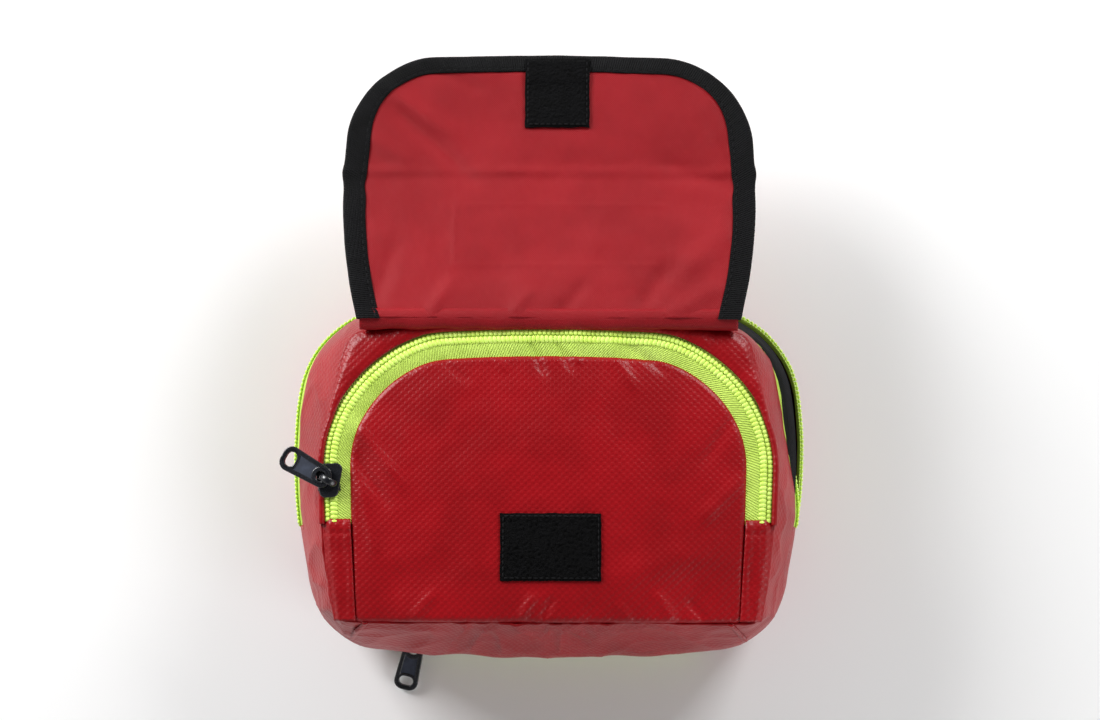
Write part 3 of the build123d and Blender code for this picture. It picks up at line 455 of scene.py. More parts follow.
VECTOR, FLOAT, COLOUR = "NodeSocketVector", "NodeSocketFloat", "NodeSocketColor"


def wave_of(tree, value, pitch):
    """A cosine along a coordinate, which repeats every pitch."""
    turn = maths(tree, "MULTIPLY", maths(tree, "DIVIDE", value, pitch), 2 * math.pi)
    return maths(tree, "COSINE", turn)


def make_dots():
    """Raised dots on a centred lattice, as embossed coated fabric has."""
    sockets = [("Place", VECTOR, None), ("Across", FLOAT, 3.0), ("Along", FLOAT, 2.84)]
    tree, given, made = group("embossed_dots", sockets, [("Height", FLOAT)])
    split = node(tree, "ShaderNodeSeparateXYZ", {0: given.outputs["Place"]})
    first = wave_of(tree, split.outputs[0], given.outputs["Across"])
    second = wave_of(tree, split.outputs[1], given.outputs["Along"])
    both = maths(tree, "MULTIPLY", first, second)
    ranged = {0: both, 1: -0.35, 2: 0.75, 3: 0.0, 4: 1.0}
    dots = node(tree, "ShaderNodeMapRange", ranged, interpolation_type="SMOOTHSTEP")
    tree.links.new(dots.outputs[0], made.inputs["Height"])
    return tree


def make_weave():
    """Over and under threads of a plain weave."""
    sockets = [("Place", VECTOR, None), ("Pitch", FLOAT, 0.5)]
    tree, given, made = group("plain_weave", sockets, [("Height", FLOAT)])
    split = node(tree, "ShaderNodeSeparateXYZ", {0: given.outputs["Place"]})
    pitch = given.outputs["Pitch"]
    double = maths(tree, "MULTIPLY", pitch, 2.0)
    threads_x = wave_of(tree, split.outputs[0], pitch)
    threads_y = wave_of(tree, split.outputs[1], pitch)
    over_x = wave_of(tree, split.outputs[0], double)
    over_y = wave_of(tree, split.outputs[1], double)
    over = maths(tree, "MULTIPLY", over_x, over_y)
    threads = maths(tree, "ADD", threads_x, threads_y)
    height = maths(tree, "ADD", over, maths(tree, "MULTIPLY", threads, 0.3))
    tree.links.new(height, made.inputs["Height"])
    return tree


def make_ribs():
    """Slanted ribs of a twill or grosgrain tape."""
    sockets = [("Place", VECTOR, None), ("Pitch", FLOAT, 0.8), ("Slant", FLOAT, 0.0)]
    tree, given, made = group("tape_ribs", sockets, [("Height", FLOAT)])
    split = node(tree, "ShaderNodeSeparateXYZ", {0: given.outputs["Place"]})
    slanted = maths(tree, "MULTIPLY", split.outputs[1], given.outputs["Slant"])
    line = maths(tree, "ADD", split.outputs[0], slanted)
    ribs = wave_of(tree, line, given.outputs["Pitch"])
    tree.links.new(ribs, made.inputs["Height"])
    return tree


def make_shading():
    """Uneven dye and rubbed patches: a colour, and a mask of the rubbed patches."""
    sockets = [
        ("Place", VECTOR, None),
        ("Colour", COLOUR, (0.5, 0.5, 0.5, 1)),
        ("Shade", COLOUR, (0.3, 0.3, 0.3, 1)),
        ("Rubbed", COLOUR, (0.7, 0.7, 0.7, 1)),
        ("Patch Size", FLOAT, 30.0),
        ("Rubbing", FLOAT, 0.2),
    ]
    outputs = [("Colour", COLOUR), ("Mask", FLOAT)]
    tree, given, made = group("uneven_dye", sockets, outputs)
    scale = maths(tree, "DIVIDE", 1.0, given.outputs["Patch Size"])
    large = node(
        tree,
        "ShaderNodeTexNoise",
        {"Vector": given.outputs["Place"], "Scale": scale, "Detail": 3.0, "Roughness": 0.6},
    )
    fine_scale = maths(tree, "MULTIPLY", scale, 9.0)
    fine = node(
        tree,
        "ShaderNodeTexNoise",
        {"Vector": given.outputs["Place"], "Scale": fine_scale, "Detail": 4.0, "Roughness": 0.7},
    )
    spread = {0: large.outputs[0], 1: 0.35, 2: 0.65, 3: 0.0, 4: 1.0}
    patches = node(tree, "ShaderNodeMapRange", spread, interpolation_type="SMOOTHSTEP")
    tones = node(
        tree,
        "ShaderNodeMix",
        {0: patches.outputs[0], 6: given.outputs["Shade"], 7: given.outputs["Colour"]},
        data_type="RGBA",
    )
    worn = {0: fine.outputs[0], 1: 0.56, 2: 0.72, 3: 0.0, 4: 1.0}
    flecks = node(tree, "ShaderNodeMapRange", worn, interpolation_type="SMOOTHSTEP")
    mask = maths(tree, "MULTIPLY", flecks.outputs[0], given.outputs["Rubbing"])
    rubbed = node(
        tree,
        "ShaderNodeMix",
        {0: mask, 6: tones.outputs[2], 7: given.outputs["Rubbed"]},
        data_type="RGBA",
    )
    tree.links.new(rubbed.outputs[2], made.inputs["Colour"])
    tree.links.new(mask, made.inputs["Mask"])
    return tree


DOTS, WEAVE, RIBS, DYE = make_dots(), make_weave(), make_ribs(), make_shading()


class Finish:
    """One material while it is being built."""

    def __init__(self, name, roughness, **constants):
        self.material = bpy.data.materials.new(name)
        self.material.use_nodes = True
        self.tree = self.material.node_tree
        self.shader = self.tree.nodes["Principled BSDF"]
        self.shader.inputs["Roughness"].default_value = roughness
        for label, value in constants.items():
            self.shader.inputs[label.replace("_", " ")].default_value = value
        self.roughness = roughness
        solid = node(self.tree, "ShaderNodeTexCoord").outputs["Object"]
        scaled = {0: solid, 1: (1 / MM, 1 / MM, 1 / MM)}
        self.solid = node(self.tree, "ShaderNodeVectorMath", scaled, operation="MULTIPLY").outputs[0]
        self.mapped = node(self.tree, "ShaderNodeUVMap", uv_map="cloth").outputs[0]

    def dye(self, colour, shade, rubbed, patch=30.0, rubbing=0.2, rougher=0.15):
        """Uneven colour, with a change of roughness where it is rubbed."""
        tree = self.tree
        placed = node(
            tree,
            "ShaderNodeGroup",
            {},
            node_tree=DYE,
        )
        tree.links.new(self.solid, placed.inputs["Place"])
        for label, value in (("Colour", colour), ("Shade", shade), ("Rubbed", rubbed)):
            placed.inputs[label].default_value = (*value, 1)
        placed.inputs["Patch Size"].default_value = patch
        placed.inputs["Rubbing"].default_value = rubbing
        tree.links.new(placed.outputs["Colour"], self.shader.inputs["Base Color"])
        lift = maths(tree, "MULTIPLY", placed.outputs["Mask"], rougher)
        rough = maths(tree, "ADD", lift, self.roughness)
        tree.links.new(rough, self.shader.inputs["Roughness"])
        self.colour = placed.outputs["Colour"]
        return self

    def pattern(self, tree_group, **inputs):
        """The height of a shared pattern on the cloth's map."""
        placed = node(self.tree, "ShaderNodeGroup", {}, node_tree=tree_group)
        self.tree.links.new(self.mapped, placed.inputs["Place"])
        for label, value in inputs.items():
            placed.inputs[label].default_value = value
        return placed.outputs["Height"]

    def grain(self, size, detail=3.0, stretch=(1, 1, 1)):
        """Fine random grain through the solid."""
        turned = node(self.tree, "ShaderNodeMapping", {"Vector": self.solid, "Scale": stretch})
        inputs = {"Vector": turned.outputs[0], "Scale": 1 / size, "Detail": detail}
        return node(self.tree, "ShaderNodeTexNoise", inputs).outputs[0]

    def paint_hollow_shade(self, height, low, amount):
        """Paints shade into the colour in the hollows between raised threads, ribs or dots: the lower
        the height, the darker.
        """
        ranged = {0: height, 1: -1.0, 2: 1.0, 3: low, 4: 1.0}
        level = node(self.tree, "ShaderNodeMapRange", ranged).outputs[0]
        inputs = {0: amount, 6: self.colour, 7: level}
        colour_with_painted_shade = node(
            self.tree, "ShaderNodeMix", inputs, data_type="RGBA", blend_type="MULTIPLY"
        )
        self.tree.links.new(colour_with_painted_shade.outputs[2], self.shader.inputs["Base Color"])
        return self

    def relief(self, *layers):
        """Bump from several heights, each with its depth in millimetres."""
        normal = None
        for height, depth in layers:
            inputs = {"Height": height, "Distance": depth * MM, "Strength": 1.0}
            if normal is not None:
                inputs["Normal"] = normal
            normal = node(self.tree, "ShaderNodeBump", inputs).outputs[0]
        self.tree.links.new(normal, self.shader.inputs["Normal"])
        return self.material


RED = (0.33, 0.002, 0.006)
RED_DEEP = (0.27, 0.0015, 0.0045)
RED_RUBBED = (0.45, 0.02, 0.03)
NEON = (0.62, 0.86, 0.12)
NEON_SHADE = (0.50, 0.72, 0.08)


def coated_fabric():
    made = Finish("coated_fabric_red", 0.38, Specular_IOR_Level=0.32)
    made.dye(RED, RED_DEEP, RED_RUBBED, patch=30, rubbing=0.06, rougher=0.5)
    dots = made.pattern(DOTS, Across=2.8, Along=2.66)
    # painted shade in the hollows between the embossed dots
    made.paint_hollow_shade(dots, 0.5, 0.16)
    return made.relief((dots, 0.09), (made.grain(0.9), 0.03), (made.grain(9.0), 0.3))


def lining_cloth(name, colour, shade, rubbed, roughness=0.48):
    made = Finish(name, roughness, Specular_IOR_Level=0.22)
    made.dye(colour, shade, rubbed, patch=34, rubbing=0.15)
    threads = made.pattern(WEAVE, Pitch=0.42)
    # painted shade in the hollows between the woven threads
    made.paint_hollow_shade(threads, 0.6, 0.5)
    return made.relief((threads, 0.05), (made.grain(7.0, 2.0), 0.35))


def zip_cloth():
    made = Finish("zip_tape_neon", 0.6)
    made.dye(NEON, NEON_SHADE, (0.75, 0.95, 0.2), patch=18, rubbing=0.2)
    # painted glow: a faint emission in the neon colour makes the tape shine as if lit from within
    made.shader.inputs["Emission Color"].default_value = (*NEON, 1)
    made.shader.inputs["Emission Strength"].default_value = 0.05
    ribs = made.pattern(RIBS, Pitch=1.05, Slant=0.7)
    # painted shade in the troughs between the tape's ribs
    made.paint_hollow_shade(ribs, 0.62, 0.6)
    return made.relief((ribs, 0.16), (made.pattern(WEAVE, Pitch=0.35), 0.03))


def zip_coil():
    made = Finish("zip_coil_neon", 0.45)
    made.dye((0.68, 0.92, 0.18), NEON, (0.8, 0.98, 0.3), patch=6, rubbing=0.3)
    # painted glow: a faint emission in the neon colour makes the coil shine as if lit from within
    made.shader.inputs["Emission Color"].default_value = (*NEON, 1)
    made.shader.inputs["Emission Strength"].default_value = 0.05
    return made.relief((made.grain(0.5), 0.03))


def binding_tape():
    made = Finish("binding_black", 0.7, Specular_IOR_Level=0.16)
    made.dye((0.003, 0.003, 0.004), (0.0015, 0.0015, 0.002), (0.010, 0.010, 0.013), 12, 0.3)
    ribs = made.pattern(RIBS, Pitch=0.9, Slant=0.0)
    # painted shade in the troughs between the binding's ribs
    made.paint_hollow_shade(ribs, 0.4, 0.7)
    return made.relief((ribs, 0.16), (made.pattern(WEAVE, Pitch=0.5), 0.05))


def pile(name, size, depth):
    """Hook or loop tape."""
    made = Finish(name, 0.9, Specular_IOR_Level=0.12)
    made.dye((0.002, 0.002, 0.0025), (0.001, 0.001, 0.0012), (0.012, 0.012, 0.014), 4, 0.5)
    cells = node(
        made.tree, "ShaderNodeTexVoronoi", {"Vector": made.solid, "Scale": 1 / size}
    ).outputs[0]
    return made.relief((cells, depth), (made.grain(size * 0.6, 5.0), depth))


def enamel():
    made = Finish("black_metal", 0.27, Coat_Weight=0.3, Coat_Roughness=0.15)
    made.dye((0.010, 0.011, 0.015), (0.006, 0.0065, 0.009), (0.08, 0.085, 0.1), 5, 0.25, 0.6)
    return made.relief((made.grain(1.2), 0.03), (made.grain(0.25), 0.008))


def puller_face():
    made = Finish("puller_face", 0.5, Metallic=0.35)
    made.dye((0.045, 0.055, 0.085), (0.03, 0.036, 0.055), (0.11, 0.12, 0.15), 4, 0.3, 0.3)
    return made.relief((made.grain(0.3), 0.02))


def paper(name, colour, shade, roughness=0.6, **constants):
    made = Finish(name, roughness, **constants)
    made.dye(colour, shade, tuple(min(1, c * 1.15) for c in colour), 10, 0.3)
    return made.relief((made.grain(5.0, 4.0), 0.25), (made.grain(0.6), 0.03))


def gauze():
    made = Finish("gauze_white", 0.85, Sheen_Weight=0.3)
    made.dye((0.80, 0.79, 0.74), (0.66, 0.65, 0.6), (0.9, 0.9, 0.86), 8, 0.4)
    threads = made.pattern(WEAVE, Pitch=0.9)
    # painted shade in the hollows between the gauze threads
    made.paint_hollow_shade(threads, 0.45, 0.7)
    return made.relief((threads, 0.15), (made.grain(2.0), 0.2))


LOOKS = {
    "coated_fabric_red": coated_fabric(),
    "lining_red": lining_cloth(
        "lining_red", (0.34, 0.005, 0.011), (0.29, 0.003, 0.008), (0.4, 0.012, 0.02)
    ),
    "lining_black": lining_cloth(
        "lining_black", (0.012, 0.012, 0.014), (0.006, 0.006, 0.008), (0.03, 0.03, 0.035)
    ),
    "foam_board": paper("foam_board", (0.55, 0.55, 0.56), (0.45, 0.45, 0.46), 0.85),
    "zip_tape_neon": zip_cloth(),
    "zip_coil_neon": zip_coil(),
    "binding_black": binding_tape(),
    "hook_black": pile("hook_black", 0.9, 0.35),
    "loop_black": pile("loop_black", 0.55, 0.6),
    "black_metal": enamel(),
    "puller_face": puller_face(),
    "gauze_white": gauze(),
    "sachet_white": paper("sachet_white", (0.82, 0.84, 0.86), (0.72, 0.75, 0.78), 0.5),
    "carton_white": paper("carton_white", (0.8, 0.79, 0.76), (0.7, 0.69, 0.66), 0.55),
    "tape_white": paper("tape_white", (0.85, 0.84, 0.8), (0.76, 0.75, 0.7), 0.7),
    "core_white": paper("core_white", (0.7, 0.62, 0.5), (0.6, 0.52, 0.41), 0.8),
    "foil_silver": paper("foil_silver", (0.75, 0.76, 0.78), (0.6, 0.61, 0.63), 0.22, Metallic=0.95),
    "glove_blue": paper("glove_blue", (0.10, 0.24, 0.55), (0.07, 0.18, 0.45), 0.45),
    "steel": paper("steel", (0.6, 0.6, 0.62), (0.5, 0.5, 0.52), 0.25, Metallic=1.0),
    "thread_red": paper("thread_red", (0.22, 0.004, 0.008), (0.15, 0.002, 0.005), 0.6),
    "thread_black": paper(
        "thread_black", (0.006, 0.006, 0.007), (0.004, 0.004, 0.005), 0.8, Specular_IOR_Level=0.2
    ),
}


# ------------------------------------------------------------------ walls and back
REAR, BAG_FRONT, PANEL, LID = "rear_compartment", "front_compartment", "front_panel", "flap"
FULL_TURN = 2 * math.pi
REAR_ZIP_BOX = mm_box("rear_zip_tapes")
REAR_ZIP_ANGLES = [math.atan2(x, MIDDLE_Y + GIRTH_TOP) for x in (REAR_ZIP_BOX[0].x, REAR_ZIP_BOX[1].x)]


def band(low_angle, high_angle, low, high, columns, rows, out=0.0, flip=False, closed=False):
    """A stretch of wall between two directions and two heights; a height may be a function."""

    def place(across, up):
        angle = low_angle + (high_angle - low_angle) * across
        foot = low(angle) if callable(low) else low
        head = high(angle) if callable(high) else high
        return wall(angle, foot + (head - foot) * up, out)

    top = high((low_angle + high_angle) / 2) if callable(high) else high
    foot = low((low_angle + high_angle) / 2) if callable(low) else low
    size = ((high_angle - low_angle) * 85, top - foot)
    return laid(columns, rows, place, size, flip, closed)


def cloth_wall(name, body, slot, *nodes, bm, thick=1.0):
    """A piece of cloth that stands for CAD nodes."""
    piece = finish(bm, name, body, slot, thick=thick)
    if nodes:
        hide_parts(*nodes)
    return piece


# the rear walls leave the rear pocket's zipper free along the bottom
ZIP_LOW, ZIP_HIGH = REAR_ZIP_BOX[0].z, REAR_ZIP_BOX[1].z
LEFT_ZIP, RIGHT_ZIP = REAR_ZIP_ANGLES
cloth_wall(
    "rear_wall_sides", REAR, "coated_fabric_red", "rear_gusset",
    bm=band(RIGHT_ZIP, FULL_TURN + LEFT_ZIP, 0.3, REAR_TAPE_FOOT + 0.5, 300, 20),
)
finish(
    band(LEFT_ZIP, RIGHT_ZIP, ZIP_HIGH - 0.6, REAR_TAPE_FOOT + 0.5, 90, 10, 0.0),
    "rear_wall_above_zip", REAR, "coated_fabric_red", thick=1.0,
)
finish(
    band(LEFT_ZIP, RIGHT_ZIP, 0.3, ZIP_LOW + 0.8, 90, 4, 0.0),
    "rear_wall_below_zip", REAR, "coated_fabric_red", thick=1.0,
)

# the cloth that carries on past the main zipper's ends, round the bottom hinge
hinge_cloth = finish(
    band(-END_ANGLE, END_ANGLE, REAR_TAPE_FOOT, FRONT_TAPE_TOP + 0.5, 150, 24),
    "hinge_cloth", slot="coated_fabric_red", thick=1.0,
)
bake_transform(hinge_cloth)


def front_foot(angle):
    """Lower edge of the front walls, which stand off along the open run."""
    return FRONT_TAPE_TOP + OPEN_LIFT * open_share(angle) - 0.4


BOTTOM_ANGLE = math.atan2(FRONT_HALF - 7.5, MIDDLE_Y + GIRTH_TOP)
cloth_wall(
    "front_wall_sides", BAG_FRONT, "coated_fabric_red", "front_gusset",
    bm=band(BOTTOM_ANGLE, FULL_TURN - BOTTOM_ANGLE, front_foot, seam_height, 320, 26),
)
cloth_wall(
    "bottom_wall", BAG_FRONT, "coated_fabric_red", "bottom_gusset",
    bm=band(-BOTTOM_ANGLE, BOTTOM_ANGLE, front_foot, seam_height, 150, 26, 0.25),
)


def corner_seam_place(side):
    """The raised seam up a lower corner of the front walls."""
    def place(across, up):
        angle = side * BOTTOM_ANGLE + (across - 0.5) * 0.022
        height = FRONT_TAPE_TOP + 1 + (SEAM_TOP - 8 - FRONT_TAPE_TOP) * up
        return wall(angle, height, 1.15 - 2.2 * abs(across - 0.5))

    return place


for side, label in ((-1, "left"), (1, "right")):
    finish(
        laid(4, 26, corner_seam_place(side), (2, 26)), f"corner_seam_{label}", BAG_FRONT,
        "coated_fabric_red", thick=0.6,
    )

back_edge = Outline(GIRTH, BACK_INSET + 0.2)


def back_height(x, y):
    """The back panel lies on the table, dished a little between its sewn lines."""
    quilt = abs(math.sin(math.pi * x / 42)) ** 0.5 * abs(math.sin(math.pi * (y - MIDDLE_Y) / 42)) ** 0.5
    rim = smooth(0, 6, min(GIRTH_HALF - 8 - abs(x), GIRTH_TOP - 8 - abs(y)))
    return 1.15 - 0.95 * quilt * rim + 0.2 * bumps(x, y, 15, 40)


cloth_wall(
    "back_panel_cloth", REAR, "coated_fabric_red", "back_panel",
    bm=filled(back_edge, 0, (110, 80), back_height, flip=True), thick=0.8,
)

# lining, divider and board
LINED = Outline(GIRTH, 2.6)
FLOOR_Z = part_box("main_lining")[0].z / MM
cloth_wall(
    "main_lining_floor", REAR, "lining_black", "main_lining",
    bm=filled(LINED, 0, (70, 50), lambda x, y: FLOOR_Z + 0.35 + 0.25 * bumps(x, y, 20, 41)),
    thick=0.3,
)
finish(
    band(0, FULL_TURN, FLOOR_Z + 0.3, REAR_TAPE_FOOT + 4.5, 240, 5, -2.2, flip=True, closed=True),
    "main_lining_walls", REAR, "lining_black", thick=0.3,
)
DIVIDER_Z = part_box("divider_panel")[0].z / MM
cloth_wall(
    "divider_cloth", BAG_FRONT, "lining_black", "divider_panel",
    bm=filled(LINED, 0, (70, 50), lambda x, y: DIVIDER_Z + 0.35 + 0.25 * bumps(x, y, 24, 42)),
    thick=0.4,
)
finish(
    band(
        0, FULL_TURN, lambda a: front_foot(a) - 1.5, lambda a: seam_height(a) - 2.5, 240, 9, -2.0,
        flip=True, closed=True,
    ),
    "front_lining_walls", BAG_FRONT, "lining_black", thick=0.3,
)
BOARD_BOX = mm_box("back_board")
board_edge = Outline(GIRTH, 3.6)
board = finish(
    filled(board_edge, 0, (40, 30), lambda x, y: BOARD_BOX[1].z - 0.1),
    "back_foam", REAR, "foam_board", thick=2.6,
)
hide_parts("back_board")


# ------------------------------------------------------------------ zippers
def teeth(point, normal, across, length, half=1.6, height=0.6, shift=0.0):
    """One half of a zipper's chain: rounded loops set across a line."""
    count = int(length / TOOTH_PITCH)
    places = []
    for number in range(count):
        share = (number + 0.5 + shift) / count
        if share < 1:
            size = (half, TOOTH_PITCH * 0.56, height)
            places.append(standing(point(share), across(share), normal(share), size))
    return beads(places)


TAPE_THICK = 0.5
TAPE_SINK = -0.35  # how far the tape lies below the wall's face
TOOTH_OFFSET = 1.4  # middle of a row of teeth from the slit
SLIT = 0.1  # half the slit between the two tapes


def add_tape(name, body, node_name, bm):
    return cloth_wall(name, body, "zip_tape_neon", *node_name, bm=bm, thick=TAPE_THICK)


def add_chain(name, body, node_name, bm):
    return cloth_wall(name, body, "zip_coil_neon", *node_name, bm=bm, thick=0.0)


# main zipper, round the girth from one end of its arch to the other
MAIN_LENGTH = (FULL_TURN - 2 * END_ANGLE) * 85


def main_angle(share):
    return END_ANGLE + (FULL_TURN - 2 * END_ANGLE) * share


def main_band(low, high, out):
    """A strip of the main zipper; its front half stands off where the zipper is open."""
    lifted = low > SPLIT

    def place(across, up):
        angle = main_angle(across)
        lift = OPEN_LIFT * open_share(angle) if lifted else 0.0
        return wall(angle, low + (high - low) * up + lift, out)

    return laid(360, 5, place, (MAIN_LENGTH, high - low))


def main_chain(height, lifted, shift):
    def point(share):
        angle = main_angle(share)
        lift = OPEN_LIFT * open_share(angle) if lifted else 0.0
        return wall(angle, height + lift, 0.25)

    def normal(share):
        angle = main_angle(share)
        return Vector((math.sin(angle), -math.cos(angle), 0))

    return teeth(point, normal, lambda share: Vector((0, 0, 1)), 345, shift=shift)


add_tape(
    "main_zip_tape_rear_cloth", REAR, ["main_zip_tape_rear"],
    main_band(REAR_TAPE_FOOT - 0.6, SPLIT - SLIT, TAPE_SINK),
)
add_tape(
    "main_zip_tape_front_cloth", BAG_FRONT, ["main_zip_tape_front"],
    main_band(SPLIT + SLIT, FRONT_TAPE_TOP + 0.6, TAPE_SINK),
)
add_chain(
    "main_zip_chain_rear", REAR, ["main_zip_coil_rear"],
    main_chain(SPLIT - TOOTH_OFFSET, False, 0.0),
)
add_chain(
    "main_zip_chain_front", BAG_FRONT, ["main_zip_coil_front"],
    main_chain(SPLIT + TOOTH_OFFSET, True, 0.5),
)

# front zipper, on the arch of the front face
FRONT_ARCHES = {}


def arch_at(offset):
    """The zipper's arch grown by an offset, as an open line."""
    key = round(offset, 2)
    if key not in FRONT_ARCHES:
        FRONT_ARCHES[key] = Outline(ARCH, -offset, closed=False)
    return FRONT_ARCHES[key]


ARCH_LENGTH = arch_at(0).length


def arch_place(share, offset, lift=0.0):
    spot = arch_at(offset).at(share)
    edge = smooth(-0.6, 4.6, offset)
    return Vector((spot.x, spot.y, front_height(spot.x, spot.y) + lift - 2.2 * edge))


def arch_strip(inner, outer, columns, rows, lift, tuck=0.0):
    def place(across, up):
        offset = inner + (outer - inner) * up
        sunk = tuck * smooth(0.75, 0.0, up)
        spot = arch_place(across, offset, lift - sunk)
        direction = math.atan2(spot.x, MIDDLE_Y - spot.y) % FULL_TURN
        reach = read_table(UPPER, SHARES, 1, direction) - SEAM_MARGIN
        radius = math.hypot(spot.x, spot.y - MIDDLE_Y)
        inwards = min(1.0, reach / radius)
        return Vector((spot.x * inwards, MIDDLE_Y + (spot.y - MIDDLE_Y) * inwards, spot.z))

    return laid(columns, rows, place, (ARCH_LENGTH, abs(outer - inner)))


def arch_out(share, offset=0.0):
    """Outwards across the front zipper, in the front face."""
    here = arch_place(share, offset + 0.4) - arch_place(share, offset - 0.4)
    return here


def arch_normal(share):
    spot = arch_at(0).at(share)
    return Vector((spot.x / CROWN_X_RADIUS, (spot.y - MIDDLE_Y) / CROWN_Y_RADIUS, 1)).normalized()


def front_chain(offset, shift):
    return teeth(
        lambda share: arch_place(share, offset, 0.15), arch_normal,
        lambda share: arch_out(share, offset), ARCH_LENGTH, shift=shift,
    )


def folding(piece, *nodes):
    """Cloth on the front panel: bakes its place into its mesh and hides the CAD nodes that it stands
    for.
    """
    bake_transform(piece)
    if nodes:
        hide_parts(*nodes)
    return piece


folding(
    finish(arch_strip(-TAPE_REACH - 1.4, -0.1, 340, 9, -0.35, 0.9), "front_zip_tape_inner_cloth",
           slot="zip_tape_neon", thick=0.5),
    "front_zip_tape_inner",
)
folding(
    finish(front_chain(-1.4, 0.0), "front_zip_chain_inner", slot="zip_coil_neon"),
    "front_zip_coil_inner", "front_zip_ends",
)
add_tape(
    "front_zip_tape_outer_cloth", BAG_FRONT, ["front_zip_tape_outer"],
    arch_strip(SLIT, COIL_REACH + 1.6, 340, 6, TAPE_SINK),
)
add_chain(
    "front_zip_chain_outer", BAG_FRONT, ["front_zip_coil_outer"], front_chain(TOOTH_OFFSET, 0.5)
)

# rear pocket's zipper, low on the bottom wall
REAR_SPLIT = (ZIP_LOW + ZIP_HIGH) / 2
REAR_LENGTH = REAR_ZIP_BOX[1].x - REAR_ZIP_BOX[0].x


def rear_place(share, height, out=0.0):
    angle = LEFT_ZIP + (RIGHT_ZIP - LEFT_ZIP) * share
    return wall(angle, height, out)


for label, low, high, mid, shift in (
    ("lower", ZIP_LOW, REAR_SPLIT - SLIT, REAR_SPLIT - TOOTH_OFFSET, 0.0),
    ("upper", REAR_SPLIT + SLIT, ZIP_HIGH, REAR_SPLIT + TOOTH_OFFSET, 0.5),
):
    first = label == "lower"
    tape = laid(
        90, 4, lambda a, u, lo=low, hi=high: rear_place(a, lo + (hi - lo) * u, -0.3),
        (REAR_LENGTH, high - low),
    )
    add_tape(f"rear_zip_tape_{label}", REAR, ["rear_zip_tapes"] if first else [], tape)
    chain = teeth(
        lambda s, m=mid: rear_place(s, m, 0.25), lambda s: Vector((0, -1, -0.2)),
        lambda s: Vector((0, 0, 1)), REAR_LENGTH, 1.3, shift=shift,
    )
    add_chain(f"rear_zip_chain_{label}", REAR, ["rear_zip_coils"] if first else [], chain)


# ------------------------------------------------------------------ front face
def frame_place(across, up):
    """The frame between the front zipper and the seam round the front."""
    inner = arch_at(COIL_REACH + 0.1).at(across)
    direction = math.atan2(inner.x, MIDDLE_Y - inner.y) % FULL_TURN
    reach = read_table(UPPER, SHARES, 1, direction) - 0.2
    start = math.hypot(inner.x, inner.y - MIDDLE_Y)
    radius = start + (max(reach, start + 0.6) - start) * up
    x, y = radius * math.sin(direction), MIDDLE_Y - radius * math.cos(direction)
    height = front_height(x, y) - 0.6 * smooth(0.35, 0.0, up) - 1.5 * smooth(0.72, 1.0, up)
    return Vector((x, y, height))


cloth_wall(
    "front_frame_cloth", BAG_FRONT, "coated_fabric_red", "front_frame",
    bm=laid(320, 14, frame_place), thick=1.0,
)

PANEL_SHAPE = (
    ARCH[0] - TAPE_REACH + 0.3, FRONT_HALF - 10.7, FRONT_HALF - 12.5, ARCH[3] - TAPE_REACH + 0.3,
    FRONT_FOOT + 0.3, ARCH[5] - TAPE_REACH, 2.5, ARCH[7],
)
panel_edge = Outline(PANEL_SHAPE)
PANEL_ANGLES = np.linspace(0, FULL_TURN, 1441)
PANEL_RADII = panel_edge.radii(MIDDLE_Y, PANEL_ANGLES)


def panel_height(x, y):
    """The front panel's cloth, rolled under along its edge."""
    turn = math.atan2(x, MIDDLE_Y - y) % FULL_TURN
    edge = float(np.interp(turn, PANEL_ANGLES, PANEL_RADII)) - math.hypot(x, y - MIDDLE_Y)
    rolled = math.exp(-(max(0.0, edge) / 0.9) ** 2)
    return front_height(x, y) + 0.25 - 0.95 * rolled


folding(
    finish(filled(panel_edge, MIDDLE_Y, (190, 150), panel_height), "front_panel_cloth",
           slot="coated_fabric_red", thick=1.0),
    "upper_front_panel", "lower_front_panel",
)

# the folded strips that cover the zipper's ends
STRIP_TOP = ZIP_END - 1.0


def strip_place(side):
    def place(across, up):
        y = FRONT_FOOT + 0.6 + (STRIP_TOP + 2.2 - FRONT_FOOT) * up
        direction = math.atan2(FRONT_HALF, MIDDLE_Y - y)
        reach = read_table(UPPER, SHARES, 1, direction)
        outer = reach * math.sin(direction) - 0.3
        inner = FRONT_HALF - 13.2 + 2.2 * up
        x = inner + (outer - inner) * across
        lift = 0.95 - 0.45 * math.exp(-((across / 0.07) ** 2)) - 1.7 * smooth(0.7, 1.0, across)
        lift -= 0.7 * math.exp(-(((1 - up) / 0.035) ** 2)) - 0.25 * bumps(x, y * 0.5, 5, 60)
        lift += 0.5 * bumps(x * 1.2, y * 0.12, 3.2, 62) * smooth(0.05, 0.3, across)
        lift -= 0.35 * math.exp(-(((STRIP_TOP - 2.4 - y) / 0.7) ** 2))
        return Vector((side * x, y, front_height(side * x, y) + lift))

    return place


for side, label in ((-1, "left"), (1, "right")):
    strip = finish(
        laid(18, 44, strip_place(side), flip=side < 0), f"zip_end_strip_{label}", BAG_FRONT,
        "coated_fabric_red", thick=0.9,
    )
    if side < 0:
        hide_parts("zip_end_strips")

# welt of the seam round the front face
FRONT_LOOP = Outline(FRONT, 0.5)
WELT = 0.75  # radius


def welt_place(across, up):
    spot = FRONT_LOOP.at(across)
    turn = up * FULL_TURN
    outward = Vector((spot.x / FRONT_HALF, (spot.y - MIDDLE_Y) / CROWN_HALF, 0)).normalized()
    height = front_height(spot.x, spot.y) - 2.3
    middle = Vector((spot.x, spot.y, height))
    return middle + outward * math.cos(turn) * WELT + Vector((0, 0, WELT * math.sin(turn)))


finish(
    laid(400, 8, welt_place, (FRONT_LOOP.length, 4), closed=True), "front_seam_welt", BAG_FRONT,
    "coated_fabric_red",
)


